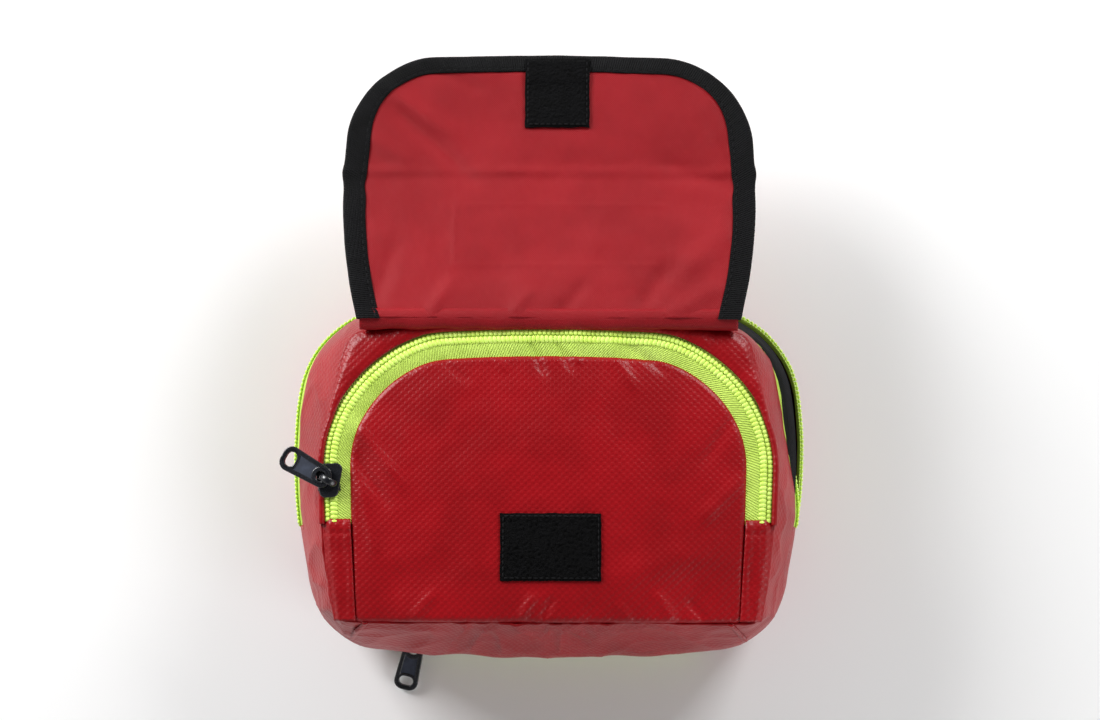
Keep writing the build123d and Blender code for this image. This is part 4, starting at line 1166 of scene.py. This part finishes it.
def patch_bm(box, seed, columns, rows, rise, rough):
    """A rectangle of hook or loop tape with flat selvages and a napped middle."""
    low, high = box

    def place(across, up):
        x, y = low.x + (high.x - low.x) * across, low.y + (high.y - low.y) * up
        x += 0.25 * bumps(y, seed, 4, seed) * (abs(across - 0.5) > 0.49)
        y += 0.3 * bumps(x, seed, 5, seed + 1) * (abs(up - 0.5) > 0.48)
        edge = min(x - low.x, high.x - x)
        nap = smooth(0.6, 2.2, edge) * smooth(0.2, 1.5, min(y - low.y, high.y - y))
        return Vector((x, y, rise(x, y) + nap * (0.5 + rough * bumps(x, y, 1.1, seed))))

    return laid(columns, rows, place)


LOOP_BOX = mm_box("loop_patch")
loop_bm = patch_bm(LOOP_BOX, 3, 110, 76, lambda x, y: front_height(x, y) + 0.85, 0.55)
cloth_wall("loop_patch_pile", BAG_FRONT, "loop_black", "loop_patch", bm=loop_bm, thick=0.8)


# ------------------------------------------------------------------ flap
FLAP_TIP = FLAP[3]
NEAR_SLOPE, FAR_SLOPE = math.tan(math.radians(14.0)), math.tan(math.radians(4.0))
CREASE_Y = HINGE_Y + 60 * math.cos(math.radians(14.0))

# Creases of the flap's cloth: from, to, width and height
FLAP_CREASES = (
    ((-66, 150, -36, 128), 3.5, 1.1),
    ((-60, 140, -30, 112), 3.0, -1.0),
    ((-70, 128, -52, 118), 3.0, 0.9),
    ((-46, 156, -24, 146), 3.0, -0.7),
    ((60, 150, 66, 122), 3.5, 0.8),
    ((44, 118, 72, 108), 4.0, -1.0),
    ((52, 76, 70, 92), 5.0, 1.1),
    ((34, 60, 46, 78), 4.0, -1.1),
    ((46, 58, 66, 70), 3.5, 0.8),
    ((4, 58, 14, 70), 3.0, -0.8),
    ((-14, 58, -6, 68), 2.6, 0.7),
    ((-44, 58, -36, 72), 3.0, 0.8),
    ((-66, 62, -58, 86), 4.0, -0.9),
    ((-30, 72, 8, 84), 7.0, -0.8),
)


def flap_height(x, y):
    """Height of the middle of the flap's cloth."""
    near = HINGE_Z - (y - HINGE_Y) * NEAR_SLOPE
    far = HINGE_Z - (CREASE_Y - HINGE_Y) * NEAR_SLOPE - (y - CREASE_Y) * FAR_SLOPE
    share = smooth(CREASE_Y - 5, CREASE_Y + 5, y)
    height = near + (far - near) * share
    height += 0.9 * math.exp(-((y - CREASE_Y - 1) / 2.2) ** 2) * (0.75 + 0.5 * bumps(x, 0, 26, 31))
    loose = smooth(HINGE_Y, HINGE_Y + 12, y)
    height += loose * (0.9 * bumps(x, y, 36, 33) + 0.35 * bumps(x + y, y - x, 15, 34))
    height += 0.35 * smooth(HINGE_Y + 16, HINGE_Y, y) * bumps(x, y * 0.3, 7, 35)
    for line, width, rise in FLAP_CREASES:
        height += rise * crease(x, y, line, width)
    # faint imprint of a panel sewn on the other side
    across = max(abs(x - 5) - 41, abs(y - 89) - 12)
    height += 0.22 * math.exp(-((across / 0.8) ** 2))
    return height


flap_edge = Outline(FLAP, 0.5)
FLAP_MIDDLE = (FLAP_TIP + HINGE_Y) / 2
flap_lining = cloth_wall(
    "flap_lining_cloth", LID, "lining_red", "flap_lining",
    bm=filled(flap_edge, FLAP_MIDDLE, (170, 130), lambda x, y: flap_height(x, y) + 0.75), thick=0.4,
)
flap_outer = cloth_wall(
    "flap_outer_cloth", LID, "coated_fabric_red", "flap_outer",
    bm=filled(flap_edge, FLAP_MIDDLE, (110, 90), lambda x, y: flap_height(x, y) - 0.75, flip=True),
    thick=0.8,
)

FLAP_LINES = {}


def flap_line(inset):
    key = round(inset, 2)
    if key not in FLAP_LINES:
        FLAP_LINES[key] = Outline(FLAP, inset, closed=False)
    return FLAP_LINES[key]


# Section of the binding: inset from the edge, and height off the flap's middle
BINDING_SECTION = (
    (BINDING, 0.75), (BINDING - 0.1, 1.2), (BINDING - 1.0, 1.4), (BINDING - 1.5, 1.15),
    (BINDING - 2.2, 1.4), (5.6, 1.45), (4.2, 1.45), (2.8, 1.45), (1.4, 1.4), (0.5, 1.2),
    (0.0, 0.6), (-0.15, 0.0), (0.0, -0.6), (0.5, -1.2),
    (1.4, -1.4), (2.8, -1.45), (4.2, -1.45), (5.6, -1.45),
    (BINDING - 2.2, -1.4), (BINDING - 1.5, -1.15),
    (BINDING - 1.0, -1.4), (BINDING - 0.1, -1.2), (BINDING, -0.75),
)


def bound(share, inset, height):
    """A place on the binding, by its share along, inset from the edge and height off the cloth."""
    run = share * flap_line(0).length
    edge = flap_line(0).at(share)
    kink = math.exp(-(((edge.y - CREASE_Y) / 3.5) ** 2))
    sway = 0.45 * bumps(run, 0, 16, 51) + 0.7 * kink
    tip = smooth(FLAP_TIP - 30, FLAP_TIP - 6, edge.y)
    spot = flap_line(inset).at(share).lerp(edge, 0.24 * tip * (inset > 0.6))
    outward = Vector((spot.x, spot.y - FLAP_MIDDLE)).normalized()
    spot = spot + outward * sway
    lifted = flap_height(spot.x, spot.y) + height + 0.25 * bumps(run, inset, 6, 52)
    return Vector((spot.x, spot.y, lifted))


def binding_place(across, up):
    place = up * (len(BINDING_SECTION) - 1)
    number = min(int(place), len(BINDING_SECTION) - 2)
    (inset_a, height_a), (inset_b, height_b) = BINDING_SECTION[number:number + 2]
    share = place - number
    inset = inset_a + (inset_b - inset_a) * share
    spot = bound(across, inset, height_a + (height_b - height_a) * share)
    spot.y = max(spot.y, HINGE_Y)
    return spot


binding = cloth_wall(
    "flap_binding_tape", LID, "binding_black", "flap_binding",
    bm=laid(
        420, len(BINDING_SECTION) - 1, binding_place, (flap_line(0).length, 2 * BINDING), flip=True
    ),
    thick=0.0,
)


def binding_stitches(name, height):
    return stitched(
        name, lambda share: bound(share, BINDING - 1.5, height), lambda share: UP,
        flap_line(BINDING).length, 2.6, LOOKS["thread_black"], LID, (0.32, 0.22),
    )


UP = Vector((0, 0, 1))
binding_thread = binding_stitches("flap_binding_stitches", 1.3)
under_thread = binding_stitches("flap_binding_stitches_under", -1.3)

HOOK_BOX = mm_box("hook_patch")
hook_box = (HOOK_BOX[0] + Vector((0, 1.5, 0)), Vector((HOOK_BOX[1].x, FLAP_TIP + FLAP[7] - 1.6, 0)))


def hook_rise(x, y):
    """The hook patch lies on the cloth, and on the binding at the tip."""
    over_binding = smooth(FLAP_TIP - BINDING - 1, FLAP_TIP - BINDING + 1, y)
    return flap_height(x, y) + 1.55 + 0.35 * over_binding


hook = cloth_wall(
    "hook_patch_tape", LID, "hook_black", "hook_patch",
    bm=patch_bm(hook_box, 5, 84, 84, hook_rise, 0.3), thick=0.7,
)


def patch_stitches(name, box, height, body, inset=1.1):
    """Stitches round a patch, a little inside its edges."""
    low, high = box
    xs, ys = (low.x + inset, high.x - inset), (low.y + inset, high.y - inset)
    turns = ((0, 0), (1, 0), (1, 1), (0, 1))
    corners = [Vector((xs[i], ys[j])) for i, j in turns]
    places = []
    for start, end in zip(corners, corners[1:] + corners[:1]):
        count = int((end - start).length / 2.2)
        for number in range(count):
            spot = start.lerp(end, (number + 0.5) / count)
            along = (end - start).to_3d()
            here = Vector((spot.x, spot.y, height(spot.x, spot.y)))
            places.append(standing(here, along, UP, (0.9, 0.3, 0.22)))
    return finish(beads(places), name, body, material=LOOKS["thread_black"])


patch_stitches("loop_patch_stitches", LOOP_BOX, lambda x, y: front_height(x, y) + 1.25, BAG_FRONT)
patch_stitches("hook_patch_stitches", hook_box, lambda x, y: flap_height(x, y) + 2.0, LID)

# the flap's root, from the top wall over the hinge line
ROOT_PATH = (
    (FRONT_TOP + 3.6, SEAM_TOP - 12.0), (FRONT_TOP + 3.4, SEAM_TOP - 9.0),
    (FRONT_TOP + 2.4, SEAM_TOP - 6.0), (FRONT_TOP + 1.0, SEAM_TOP - 3.6),
    (FRONT_TOP + 0.6, SEAM_TOP - 2.2), (FRONT_TOP + 1.2, SEAM_TOP - 1.2),
    (HINGE_Y - 0.2, HINGE_Z + 0.35), (HINGE_Y + 1.6, HINGE_Z + 0.25), (HINGE_Y + 4.0, HINGE_Z - 0.45),
)


def root_place(across, up):
    place = up * (len(ROOT_PATH) - 1)
    number = min(int(place), len(ROOT_PATH) - 2)
    share = place - number
    y = ROOT_PATH[number][0] + (ROOT_PATH[number + 1][0] - ROOT_PATH[number][0]) * share
    z = ROOT_PATH[number][1] + (ROOT_PATH[number + 1][1] - ROOT_PATH[number][1]) * share
    half = FLAP[2] - 1.0 - 5.0 * smooth(0.5, 0.0, up)
    x = (2 * across - 1) * half
    bowed = 2.2 * (1 - (x / FLAP[2]) ** 2)
    settled = smooth(0.45, 0.0, up)
    drop = (SEAM_TOP - crown(x, FRONT_TOP)) * smooth(0.9, 0.2, up) * 0.35
    fold = 0.5 * bumps(x, up * 4, 8, 71) * smooth(1.0, 0.6, up)
    return Vector((x, y + bowed * (0.3 + 0.7 * settled) * (1 - up) + fold, z - drop))


root = finish(
    laid(150, 16, root_place, (2 * FLAP[2], 18)), "flap_root_cloth",
    slot="lining_red", thick=0.7, side=0.0,
)
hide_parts("flap_root")
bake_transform(root)


# ------------------------------------------------------------------ sliders and pullers
def rounded_loop(length, width, corner, start=0.0, far_width=None):
    """A rounded outline that lies along X from a start, as points."""
    far = far_width or width
    points = []
    for x, y, first in (
        (start + length - corner, far / 2 - corner, 0), (start + corner, width / 2 - corner, 1),
        (start + corner, corner - width / 2, 2), (start + length - corner, corner - far / 2, 3),
    ):
        points += arc((x, y), corner, first * math.pi / 2, (first + 1) * math.pi / 2, 7)
    return points


def plate(loops, half_thick, edge, lift=0.0):
    """A flat plate with holes and rounded edges, as a mesh."""
    curve = bpy.data.curves.new("plate", "CURVE")
    curve.dimensions = "2D"
    curve.fill_mode = "BOTH"
    curve.extrude = half_thick - edge
    curve.bevel_depth = edge
    curve.bevel_resolution = 2
    for loop in loops:
        spline = curve.splines.new("POLY")
        spline.points.add(len(loop) - 1)
        for point, (x, y) in zip(spline.points, loop):
            point.co = (x, y, 0, 1)
        spline.use_cyclic_u = True
    holder = bpy.data.objects.new("plate", curve)
    mesh = bpy.data.meshes.new_from_object(holder)
    bpy.data.objects.remove(holder)
    mesh.transform(Matrix.Translation((0, 0, lift)))
    return mesh


def joined(*parts):
    bm = bmesh.new()
    for mesh in parts:
        bm.from_mesh(mesh)
    return bm


def shrink(loop, by, middle):
    """A loop drawn in towards a middle by a distance."""
    made = []
    for x, y in loop:
        away = Vector((x - middle, y))
        away = away * (1 - by / max(away.length, by + 0.1))
        made.append((middle + away.x, away.y))
    return made


PULL_LENGTH, PULL_WIDTH, PULL_NECK, PULL_HALF = 20.5, 9.0, 7.6, 0.8


def puller_parts():
    """The puller's rims in enamel, and its sunk face."""
    outer = rounded_loop(PULL_LENGTH, PULL_NECK, 3.2, -PULL_HALF, PULL_WIDTH)
    inner = rounded_loop(PULL_LENGTH - 2.3, PULL_NECK - 2.3, 2.2, 1.15 - PULL_HALF, PULL_WIDTH - 2.3)
    eye = rounded_loop(4.4, 4.4, 2.1, 0.8)
    eye_rim = rounded_loop(6.4, 6.2, 3.0, -0.1)
    thumb = rounded_loop(4.6, 6.2, 2.2, PULL_LENGTH - 6.6)
    thumb_rim = rounded_loop(5.9, 7.4, 2.8, PULL_LENGTH - 7.2)
    rim = plate([outer, inner], PULL_HALF, 0.3)
    eye_ring = plate([eye_rim, eye], PULL_HALF, 0.3)
    thumb_ring = plate([thumb_rim, thumb], PULL_HALF, 0.3)
    face = plate([shrink(outer, 0.6, PULL_LENGTH / 2), eye, thumb], PULL_HALF - 0.3, 0.1)
    return joined(rim, eye_ring, thumb_ring), joined(face)


def placed(bm, matrix):
    bmesh.ops.transform(bm, matrix=matrix, verts=bm.verts)
    return bm


def axes(origin, x_axis, y_axis):
    """A matrix at a place from its X axis and its nearly square Y axis."""
    x = x_axis.normalized()
    z = x.cross(y_axis).normalized()
    turned = Matrix((x, z.cross(x), z)).transposed().to_4x4()
    return Matrix.Translation(origin) @ turned


SLIDER_LENGTH, SLIDER_WIDTH, SLIDER_TAIL = 12.0, 9.6, 6.4
PLATE_FOOT, PLATE_THICK, BRIDGE_SPAN = 0.9, 1.3, 7.6
PLATE_TOP = PLATE_FOOT + PLATE_THICK
BRIDGE_THICK, BRIDGE_WIDE, BRIDGE_RISE = 1.15, 2.6, 3.9
EYE_HEIGHT = 3.8  # middle of the puller's eye bar above the chain


def bridge_mesh(rise, turn):
    """The slider's bridge: a flat bar bent into an arch."""
    bm = bmesh.new()
    bmesh.ops.create_grid(bm, x_segments=4, y_segments=5, size=0.5)
    reach = (BRIDGE_SPAN - BRIDGE_THICK) / 2
    for vert in bm.verts:
        x, y = vert.co.x, vert.co.y
        vert.co = (reach + x * BRIDGE_THICK * (1 - 1.2 * y * y), y * BRIDGE_WIDE * (1 - 0.8 * x * x), 0)
    bmesh.ops.spin(
        bm, geom=bm.verts[:] + bm.edges[:] + bm.faces[:], axis=(0, -1, 0), cent=(0, 0, 0),
        angle=math.pi, steps=18, use_duplicate=False,
    )
    bmesh.ops.recalc_face_normals(bm, faces=bm.faces)
    for vert in bm.verts:
        height = vert.co.z
        vert.co.z = PLATE_TOP - 0.4 + height * (rise + 0.4) / (BRIDGE_SPAN / 2)
    bmesh.ops.rotate(bm, matrix=Matrix.Rotation(turn, 3, "Z"), verts=bm.verts)
    mesh = bpy.data.meshes.new("bridge")
    bm.to_mesh(mesh)
    bm.free()
    return mesh


def flange_mesh(side):
    """A side wall of the slider, which wraps the chain."""
    bm = bmesh.new()
    bmesh.ops.create_cube(bm, size=1.0)
    size = Matrix.Diagonal((SLIDER_LENGTH - 4.0, 0.9, PLATE_FOOT + 1.0, 1))
    lean = Matrix.Rotation(-side * 0.12, 4, "Z")
    put = Matrix.Translation((0, side * (SLIDER_WIDTH + SLIDER_TAIL - 2.6) / 4, 0.45))
    bmesh.ops.transform(bm, matrix=put @ lean @ size, verts=bm.verts)
    bmesh.ops.bevel(
        bm, geom=bm.verts[:] + bm.edges[:], offset=0.25, affect="EDGES", segments=2, profile=0.5,
        material=-1,
    )
    mesh = bpy.data.meshes.new("flange")
    bm.to_mesh(mesh)
    bm.free()
    return mesh


def slider_bm(rise, turn):
    """A slider's plate with its shoulders, its side walls and its bridge."""
    plan = rounded_loop(SLIDER_LENGTH, SLIDER_TAIL, 1.9, -SLIDER_LENGTH / 2, SLIDER_WIDTH)
    top = plate([plan], PLATE_THICK / 2, 0.4, PLATE_FOOT + PLATE_THICK / 2)
    return joined(top, bridge_mesh(rise, turn), flange_mesh(-1), flange_mesh(1))


def hardware(slider, puller, run, swing, rise, outward, shift=Vector((0, 0, 0))):
    """A slider and its puller, in the frames of the slide and the swing that carry them."""
    eye = Vector(JOINTS[swing]["pos_m"]) / MM
    along = Vector(JOINTS[run]["axis"])
    hinge = Vector(JOINTS[swing]["axis"])
    upward = outward.normalized()
    seat = eye - upward * EYE_HEIGHT
    bar = hinge.cross(upward)
    base = axes(seat + shift, along, upward.cross(along))
    local = base.to_3x3().inverted() @ bar
    turn = math.atan2(local.y, local.x)
    body = finish(placed(slider_bm(rise, turn), base), f"{slider}_body", slider, "black_metal")
    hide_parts(slider)
    low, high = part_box(puller)
    heading = (low + high) / (2 * MM) - eye
    heading = (heading - hinge * heading.dot(hinge)).normalized()
    frame_matrix = axes(eye + shift, heading, hinge)
    rims, face = puller_parts()
    rim = finish(placed(rims, frame_matrix), f"{puller}_rims", puller, "black_metal")
    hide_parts(puller)
    finish(placed(face, frame_matrix), f"{puller}_face", puller, "black_metal", LOOKS["puller_face"])


hardware(
    "front_slider", "front_puller", "front_slider_run", "front_puller_swing", BRIDGE_RISE,
    Vector((-FRONT_HALF / CROWN_X_RADIUS, 0, 1)), Vector((-3.6, 0, -0.5)),
)
hardware(
    "main_slider", "main_puller", "main_slider_run", "main_puller_swing", BRIDGE_RISE,
    Vector((0, 1, 0)),
)
hardware(
    "rear_slider", "rear_puller", "rear_slider_run", "rear_puller_swing", BRIDGE_RISE,
    Vector((0, -1, -0.2)),
)


# ------------------------------------------------------------------ contents
def parcel(name, node_name, body, slot, box, crimp=0.0, fill=0.5, seed=0.0):
    """A soft pack: a crowned closed form with flat crimped ends where it is a sachet."""
    low, high = box
    middle, half = (low + high) / 2, (high - low) / 2
    bm = bmesh.new()
    bmesh.ops.create_cube(bm, size=2.0)
    bmesh.ops.subdivide_edges(bm, edges=bm.edges[:], cuts=11, use_grid_fill=True)
    layer = bm.loops.layers.uv.new("cloth")
    for vert in bm.verts:
        u, v, w = vert.co
        end = smooth(1.0, 1.0 - crimp, abs(u)) if crimp else 1.0
        crown_share = (1 - 0.75 * abs(u) ** 5) * (1 - 0.75 * abs(v) ** 5)
        x = u * half.x * (1 - 0.03 * abs(v) ** 4 * fill)
        y = v * half.y * (1 - 0.04 * (1 - abs(u) ** 2) * abs(v) ** 3)
        z = w * half.z * (0.1 + 0.9 * end) * max(0.12, crown_share)
        z += 0.05 * half.z * bumps(x, y, 9, seed)
        vert.co = (middle.x + x, middle.y + y, middle.z + z)
    for face in bm.faces:
        for loop in face.loops:
            loop[layer].uv = (loop.vert.co.x + loop.vert.co.z, loop.vert.co.y + loop.vert.co.z)
    piece = finish(bm, name, body, slot, LOOKS[slot], levels=1)
    if node_name:
        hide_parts(node_name)
    return piece


def stacked(label, node_name, body, slot, count, crimp, fill):
    low, high = mm_box(node_name)
    step = (high.z - low.z) / count
    for number in range(count):
        foot = Vector((low.x, low.y, low.z + step * number + 0.1))
        head = Vector((high.x, high.y, low.z + step * (number + 1) - 0.1))
        parcel(
            f"{label}_{number + 1}", node_name if number == 0 else None, body, slot, (foot, head),
            crimp, fill, number * 3.1,
        )


stacked("wound_dressing", "wound_dressings", REAR, "sachet_white", 3, 0.16, 0.5)
stacked("antiseptic_wipe", "antiseptic_wipes", BAG_FRONT, "sachet_white", 3, 0.2, 0.5)
# Single packs: name, CAD node, body, slot, crimped share, fill and seed
for name, node_name, body, slot, crimp, fill, seed in (
    ("triangular_bandage_pack", "triangular_bandage", REAR, "gauze_white", 0, 0.6, 4),
    ("foil_blanket_pack", "foil_blanket", REAR, "foil_silver", 0.08, 0.7, 5),
    ("plaster_pack_wrap", "plaster_pack", BAG_FRONT, "carton_white", 0, 0.6, 6),
    ("glove_pack_wrap", "glove_pack", BAG_FRONT, "glove_blue", 0.1, 0.6, 7),
):
    parcel(name, node_name, body, slot, mm_box(node_name), crimp, fill, seed)


def roll_bm(low, high, centre_y, centre_z, radius):
    """A rolled bandage: a spiral strip wound round its middle, with its ends' turns showing."""
    turns = 7.0

    def place(across, up):
        turn = up * turns * FULL_TURN
        reach = 1.6 + (radius - 1.9) * up + 0.12 * bumps(across * 9, up * 40, 1, 81)
        x = low + (high - low) * across
        return Vector((x, centre_y + reach * math.cos(turn), centre_z + reach * math.sin(turn)))

    return laid(10, 260, place, (high - low, turns * radius * 3))


rolls = mm_box("bandage_rolls")
radius = (rolls[1].z - rolls[0].z) / 2
for number, y in enumerate((rolls[0].y + radius, rolls[1].y - radius)):
    roll = finish(
        roll_bm(rolls[0].x, rolls[1].x, y, rolls[0].z + radius, radius), f"bandage_roll_{number + 1}",
        REAR, "gauze_white", thick=0.5, side=1.0,
    )
    if number == 0:
        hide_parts("bandage_rolls")

for kept, look in (("adhesive_tape", "tape_white"), ("tape_core", "core_white"), ("tweezers", "steel")):
    mesh = frame["nodes"][kept].data
    mesh.materials.clear()
    mesh.materials.append(LOOKS[look])


# ------------------------------------------------------------------ table, light and camera
def plain(name, colour, roughness):
    material = bpy.data.materials.new(name)
    material.use_nodes = True
    shader = material.node_tree.nodes["Principled BSDF"]
    shader.inputs["Base Color"].default_value = (*colour, 1)
    shader.inputs["Roughness"].default_value = roughness
    return material


table_bm = bmesh.new()
bmesh.ops.create_grid(table_bm, x_segments=1, y_segments=1, size=3000)
bmesh.ops.translate(table_bm, vec=(0, 0, -0.6), verts=table_bm.verts)
table = finish(table_bm, "table_top", material=plain("pale_table", (0.93, 0.93, 0.93), 0.7))


def lamp(name, place, target, size, power, colour=(1, 1, 1)):
    """A square soft light aimed at a target."""
    data = bpy.data.lights.new(name, "AREA")
    data.size = size
    data.energy = power
    data.color = colour
    light = bpy.data.objects.new(name, data)
    light.location = place
    light.rotation_euler = (Vector(target) - Vector(place)).to_track_quat("-Z", "Y").to_euler()
    bpy.context.scene.collection.objects.link(light)


lamp("window_light", (-0.95, 0.75, 0.62), (0, 0.03, 0.04), 0.6, 21)
lamp("far_window_light", (0.75, 1.0, 0.7), (0, 0.03, 0.04), 0.5, 12)
lamp("fill_light", (0.85, -0.7, 0.45), (0, 0.0, 0.04), 0.7, 5)

world = bpy.data.worlds.new("studio")
world.use_nodes = True
backdrop = world.node_tree.nodes["Background"]
backdrop.inputs["Strength"].default_value = 0.5
toward = node(world.node_tree, "ShaderNodeTexCoord").outputs["Generated"]
rising = node(world.node_tree, "ShaderNodeSeparateXYZ", {0: toward}).outputs[2]
dimmed = {0: rising, 1: 0.35, 2: 0.95, 3: 1.0, 4: 0.12}
room = node(world.node_tree, "ShaderNodeMapRange", dimmed, interpolation_type="SMOOTHSTEP")
world.node_tree.links.new(room.outputs[0], backdrop.inputs["Color"])
bpy.context.scene.world = world
bpy.context.scene.view_settings.view_transform = "Standard"

# The camera looks almost straight down, from a little below the bag's foot.
CAMERA_TARGET = Vector((0.0005, 0.0402, 0.070))
CAMERA_RISE = math.radians(83.6)
CAMERA_TURN = math.radians(0.2)
CAMERA_AWAY = 0.745
forward = Vector((
    -math.sin(CAMERA_TURN) * math.cos(CAMERA_RISE),
    math.cos(CAMERA_TURN) * math.cos(CAMERA_RISE),
    -math.sin(CAMERA_RISE),
))
camera_data = bpy.data.cameras.new("camera")
camera_data.sensor_width = 36
camera_data.lens = 65.2
camera_data.clip_start = 0.01
camera = bpy.data.objects.new("camera", camera_data)
right = Vector((math.cos(CAMERA_TURN), math.sin(CAMERA_TURN), 0))
above = right.cross(forward)
camera.matrix_world = Matrix((
    (right.x, above.x, -forward.x, 0),
    (right.y, above.y, -forward.y, 0),
    (right.z, above.z, -forward.z, 0),
    (0, 0, 0, 1),
))
camera.location = CAMERA_TARGET - forward * CAMERA_AWAY
bpy.context.scene.collection.objects.link(camera)
bpy.context.scene.camera = camera
